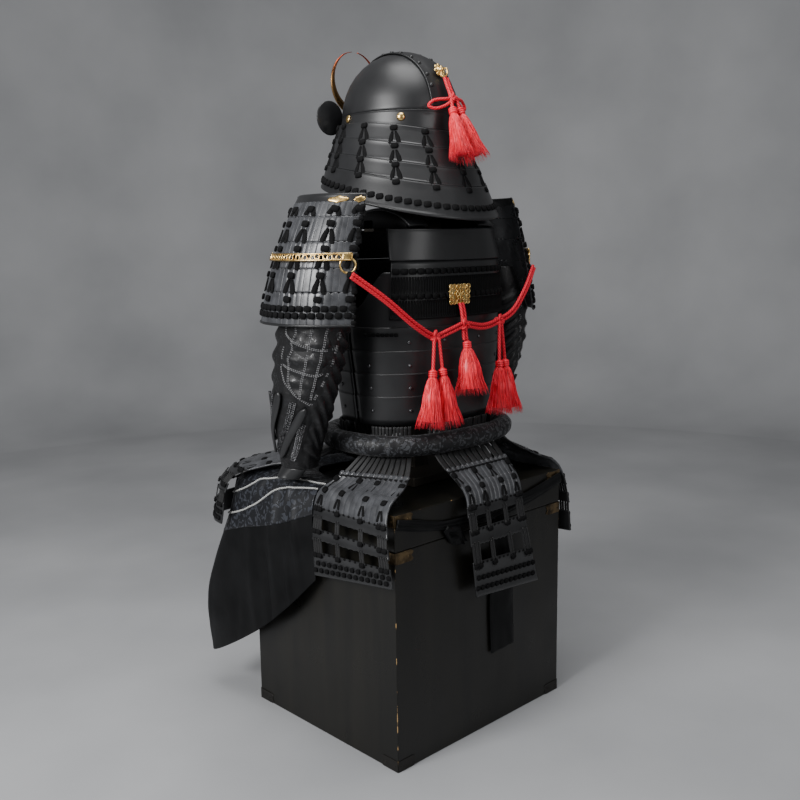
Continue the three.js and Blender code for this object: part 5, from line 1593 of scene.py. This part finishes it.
def apron(us, vs):
    """A grid of points on the left half: us along the rows, vs down from the waist."""
    rows = np.array([spline(row, us) for row in APRON])
    return np.stack([spline(rows[:, i], vs) for i in range(len(us))], 1)


APRON_FOLDS = [  # from (u, v) to (u, v), half width in metres, and rise
    (0.50, 0.46, 0.56, 0.98, 0.020, 0.006), (0.30, 0.44, 0.26, 0.98, 0.016, 0.005),
    (0.16, 0.50, 0.10, 0.96, 0.014, 0.004), (0.72, 0.46, 0.76, 0.98, 0.018, 0.006),
    (0.88, 0.42, 0.90, 0.98, 0.016, 0.005), (0.40, 0.20, 0.44, 0.60, 0.012, 0.004),
    (0.62, 0.18, 0.66, 0.60, 0.012, 0.004), (0.22, 0.12, 0.22, 0.46, 0.012, 0.003),
    (0.80, 0.14, 0.84, 0.52, 0.012, 0.004), (0.10, 0.20, 0.30, 0.30, 0.010, 0.003),
    (0.42, 0.66, 0.40, 1.0, 0.010, 0.005), (0.62, 0.62, 0.64, 1.0, 0.010, -0.006),
    (0.34, 0.70, 0.31, 1.0, 0.008, -0.005), (0.20, 0.72, 0.18, 1.0, 0.009, 0.004),
    (0.55, 0.74, 0.585, 1.0, 0.007, 0.004), (0.46, 0.80, 0.475, 1.0, 0.006, -0.004)]


def draped(us, vs, lift=0.0):
    """The left half with its soft folds."""
    grid = apron(us, vs)
    normals = outward(grid, APRON_MIDDLE)
    uu, vv = np.meshgrid(us, vs)
    rise = np.full(uu.shape, lift, float)
    for u0, v0, u1, v1, width, height in APRON_FOLDS:
        reach = np.stack([(uu - u0) * 0.62, (vv - v0) * 0.42], -1)
        way = np.array(((u1 - u0) * 0.62, (v1 - v0) * 0.42))
        share = np.clip((reach @ way) / (way @ way), 0, 1)
        gap = np.linalg.norm(reach - share[..., None] * way, axis=-1)
        rise += height * np.exp(-(gap / width) ** 2) * np.sin(math.pi * (0.1 + 0.8 * share))
    return grid + normals * rise[..., None]


def seam_at(u):
    """How far down the brocade ends."""
    return np.interp(u, (0, 0.3, 0.45, 0.58, 0.8, 1), (0.605, 0.622, 0.628, 0.655, 0.64, 0.62))


fine_us, fine_vs = np.linspace(0, 1, 131), np.linspace(0, 1, 161)
whole = draped(fine_us, fine_vs)


def on_apron(u, v, out=0.0):
    """A point on the left half, raised by out."""
    r, c = np.asarray(v, float) * 160, np.asarray(u, float) * 130
    r0, c0 = np.clip(r.astype(int), 0, 159), np.clip(c.astype(int), 0, 129)
    fr, fc = (r - r0)[..., None], (c - c0)[..., None]
    flat = (whole[r0, c0] * (1 - fr) * (1 - fc) + whole[r0 + 1, c0] * fr * (1 - fc)
            + whole[r0, c0 + 1] * (1 - fr) * fc + whole[r0 + 1, c0 + 1] * fr * fc)
    way = np.cross(whole[r0, c0 + 1] - whole[r0, c0], whole[r0 + 1, c0] - whole[r0, c0])
    way = unit(way)
    way *= np.where(((flat - APRON_MIDDLE) * way).sum(-1) > 0, 1, -1)[..., None]
    return flat + way * out


PIPING = {"upper": [(0.004, 0.145), (0.08, 0.175), (0.20, 0.205), (0.33, 0.262), (0.42, 0.375),
                    (0.50, 0.470), (0.60, 0.505), (0.80, 0.500), (0.996, 0.480)],
          "lower": [(0.004, 0.250), (0.07, 0.281), (0.25, 0.381), (0.38, 0.500), (0.48, 0.566),
                    (0.60, 0.600), (0.80, 0.585), (0.996, 0.565)]}
for side, sign in (("left", 1), ("right", -1)):
    turn_over = np.array((sign, 1, 1))
    u = np.linspace(0, 1, 131)
    for part, material, slot, low, high, lift, rows in (
            ("brocade", apron_brocade, "brocade", 0 * u, seam_at(u), 0.0006, 97),
            ("satin", satin, "satin", seam_at(u) - 0.012, 0 * u + 1, 0.0, 61)):
        t = np.linspace(0, 1, rows)[:, None]
        v = low + (high - low) * t
        grid = on_apron(np.broadcast_to(u, v.shape), v, lift)
        hem = np.interp(t, (0, 0.985, 0.992, 1), (0, 0, 0.0008, 0)) + np.zeros(131)
        side_hem = np.interp(u, (0, 0.006, 0.012, 0.988, 0.994, 1), (0, 8e-4, 0, 0, 8e-4, 0))
        cloth = shell(f"apron_{part}_{side}", grid * turn_over, APRON_MIDDLE, 0.0018, material,
                      hem + side_hem)
        built(cloth, slot, f"apron_{side}")
    for row, line in PIPING.items():
        route = spline([(a, b, 0) for a, b in line], np.linspace(0, 1, 400))
        points = even(on_apron(route[:, 0], route[:, 1], 0.0034), 0.0016) * turn_over
        built(rod(f"piping_{row}_{side}", points, 0.0021, piping_cord, 8, braid=0.1,
                  plait=0.006), "brocade")

# ---- Apron's belt ----
# A folded band of black satin ties the apron round the lid. It sags behind, is tucked into a soft knot
# at the left, and one end hangs down the back of the box.
def cloth_band(name, line, half_widths, thickness, folds, seed):
    """A band of folded cloth along a line on the back of the box."""
    route = spline(line, np.linspace(0, 1, 120))
    halves = np.interp(np.linspace(0, 1, 120), np.linspace(0, 1, len(half_widths)), half_widths)
    ways = unit(np.gradient(route, axis=0))
    up = unit(np.cross((0, 1, 0), ways))
    ks = np.linspace(-1, 1, 13)
    grid = route[:, None] + up[:, None] * (halves[:, None] * ks)[..., None]
    s = np.linspace(0, 1, 120)[:, None]
    relief = sum(h * np.exp(-((ks - k0 - 0.25 * np.sin(3 * s * math.pi + seed + i)) / w) ** 2)
                 for i, (k0, w, h) in enumerate(folds))
    relief = relief * np.interp(np.abs(ks), (0.85, 1), (1, 0.15))
    return shell(name, grid, np.array((0, -1, 0.4)), thickness, satin, relief)


tie = cloth_band("belt_tie", [(0.2425, 0.2216, 0.484), (0.184, 0.2216, 0.470), (0.120, 0.2216, 0.457),
                              (0.0, 0.2216, 0.450), (-0.120, 0.2216, 0.460), (-0.2405, 0.2216, 0.484)],
                 (0.010, 0.011, 0.008, 0.012, 0.013, 0.012), 0.0016,
                 ((-0.5, 0.22, 0.0024), (0.1, 0.25, 0.0030), (0.6, 0.2, 0.0022)), 0.4)
tail = cloth_band("belt_tail", [(-0.045, 0.2216, 0.452), (-0.050, 0.2216, 0.36), (-0.048, 0.2216, 0.26),
                                (-0.052, 0.2216, 0.158)], (0.020, 0.032, 0.036, 0.036), 0.0015,
                 ((-0.6, 0.3, 0.0012), (0.2, 0.35, 0.0016), (0.75, 0.2, 0.0010)), 1.7)
tuck = cloth_band("belt_tuck", [(0.118, 0.2226, 0.452), (0.104, 0.2226, 0.442), (0.090, 0.2226, 0.432),
                                (0.078, 0.2226, 0.424), (0.066, 0.2226, 0.414)],
                  (0.008, 0.015, 0.019, 0.015, 0.007), 0.0018,
                  ((-0.45, 0.3, 0.0060), (0.35, 0.3, 0.0075)), 2.3)
built(tie, "satin", "apron_belt")
built(tail, "satin", "apron_belt")
built(tuck, "satin", "apron_belt")
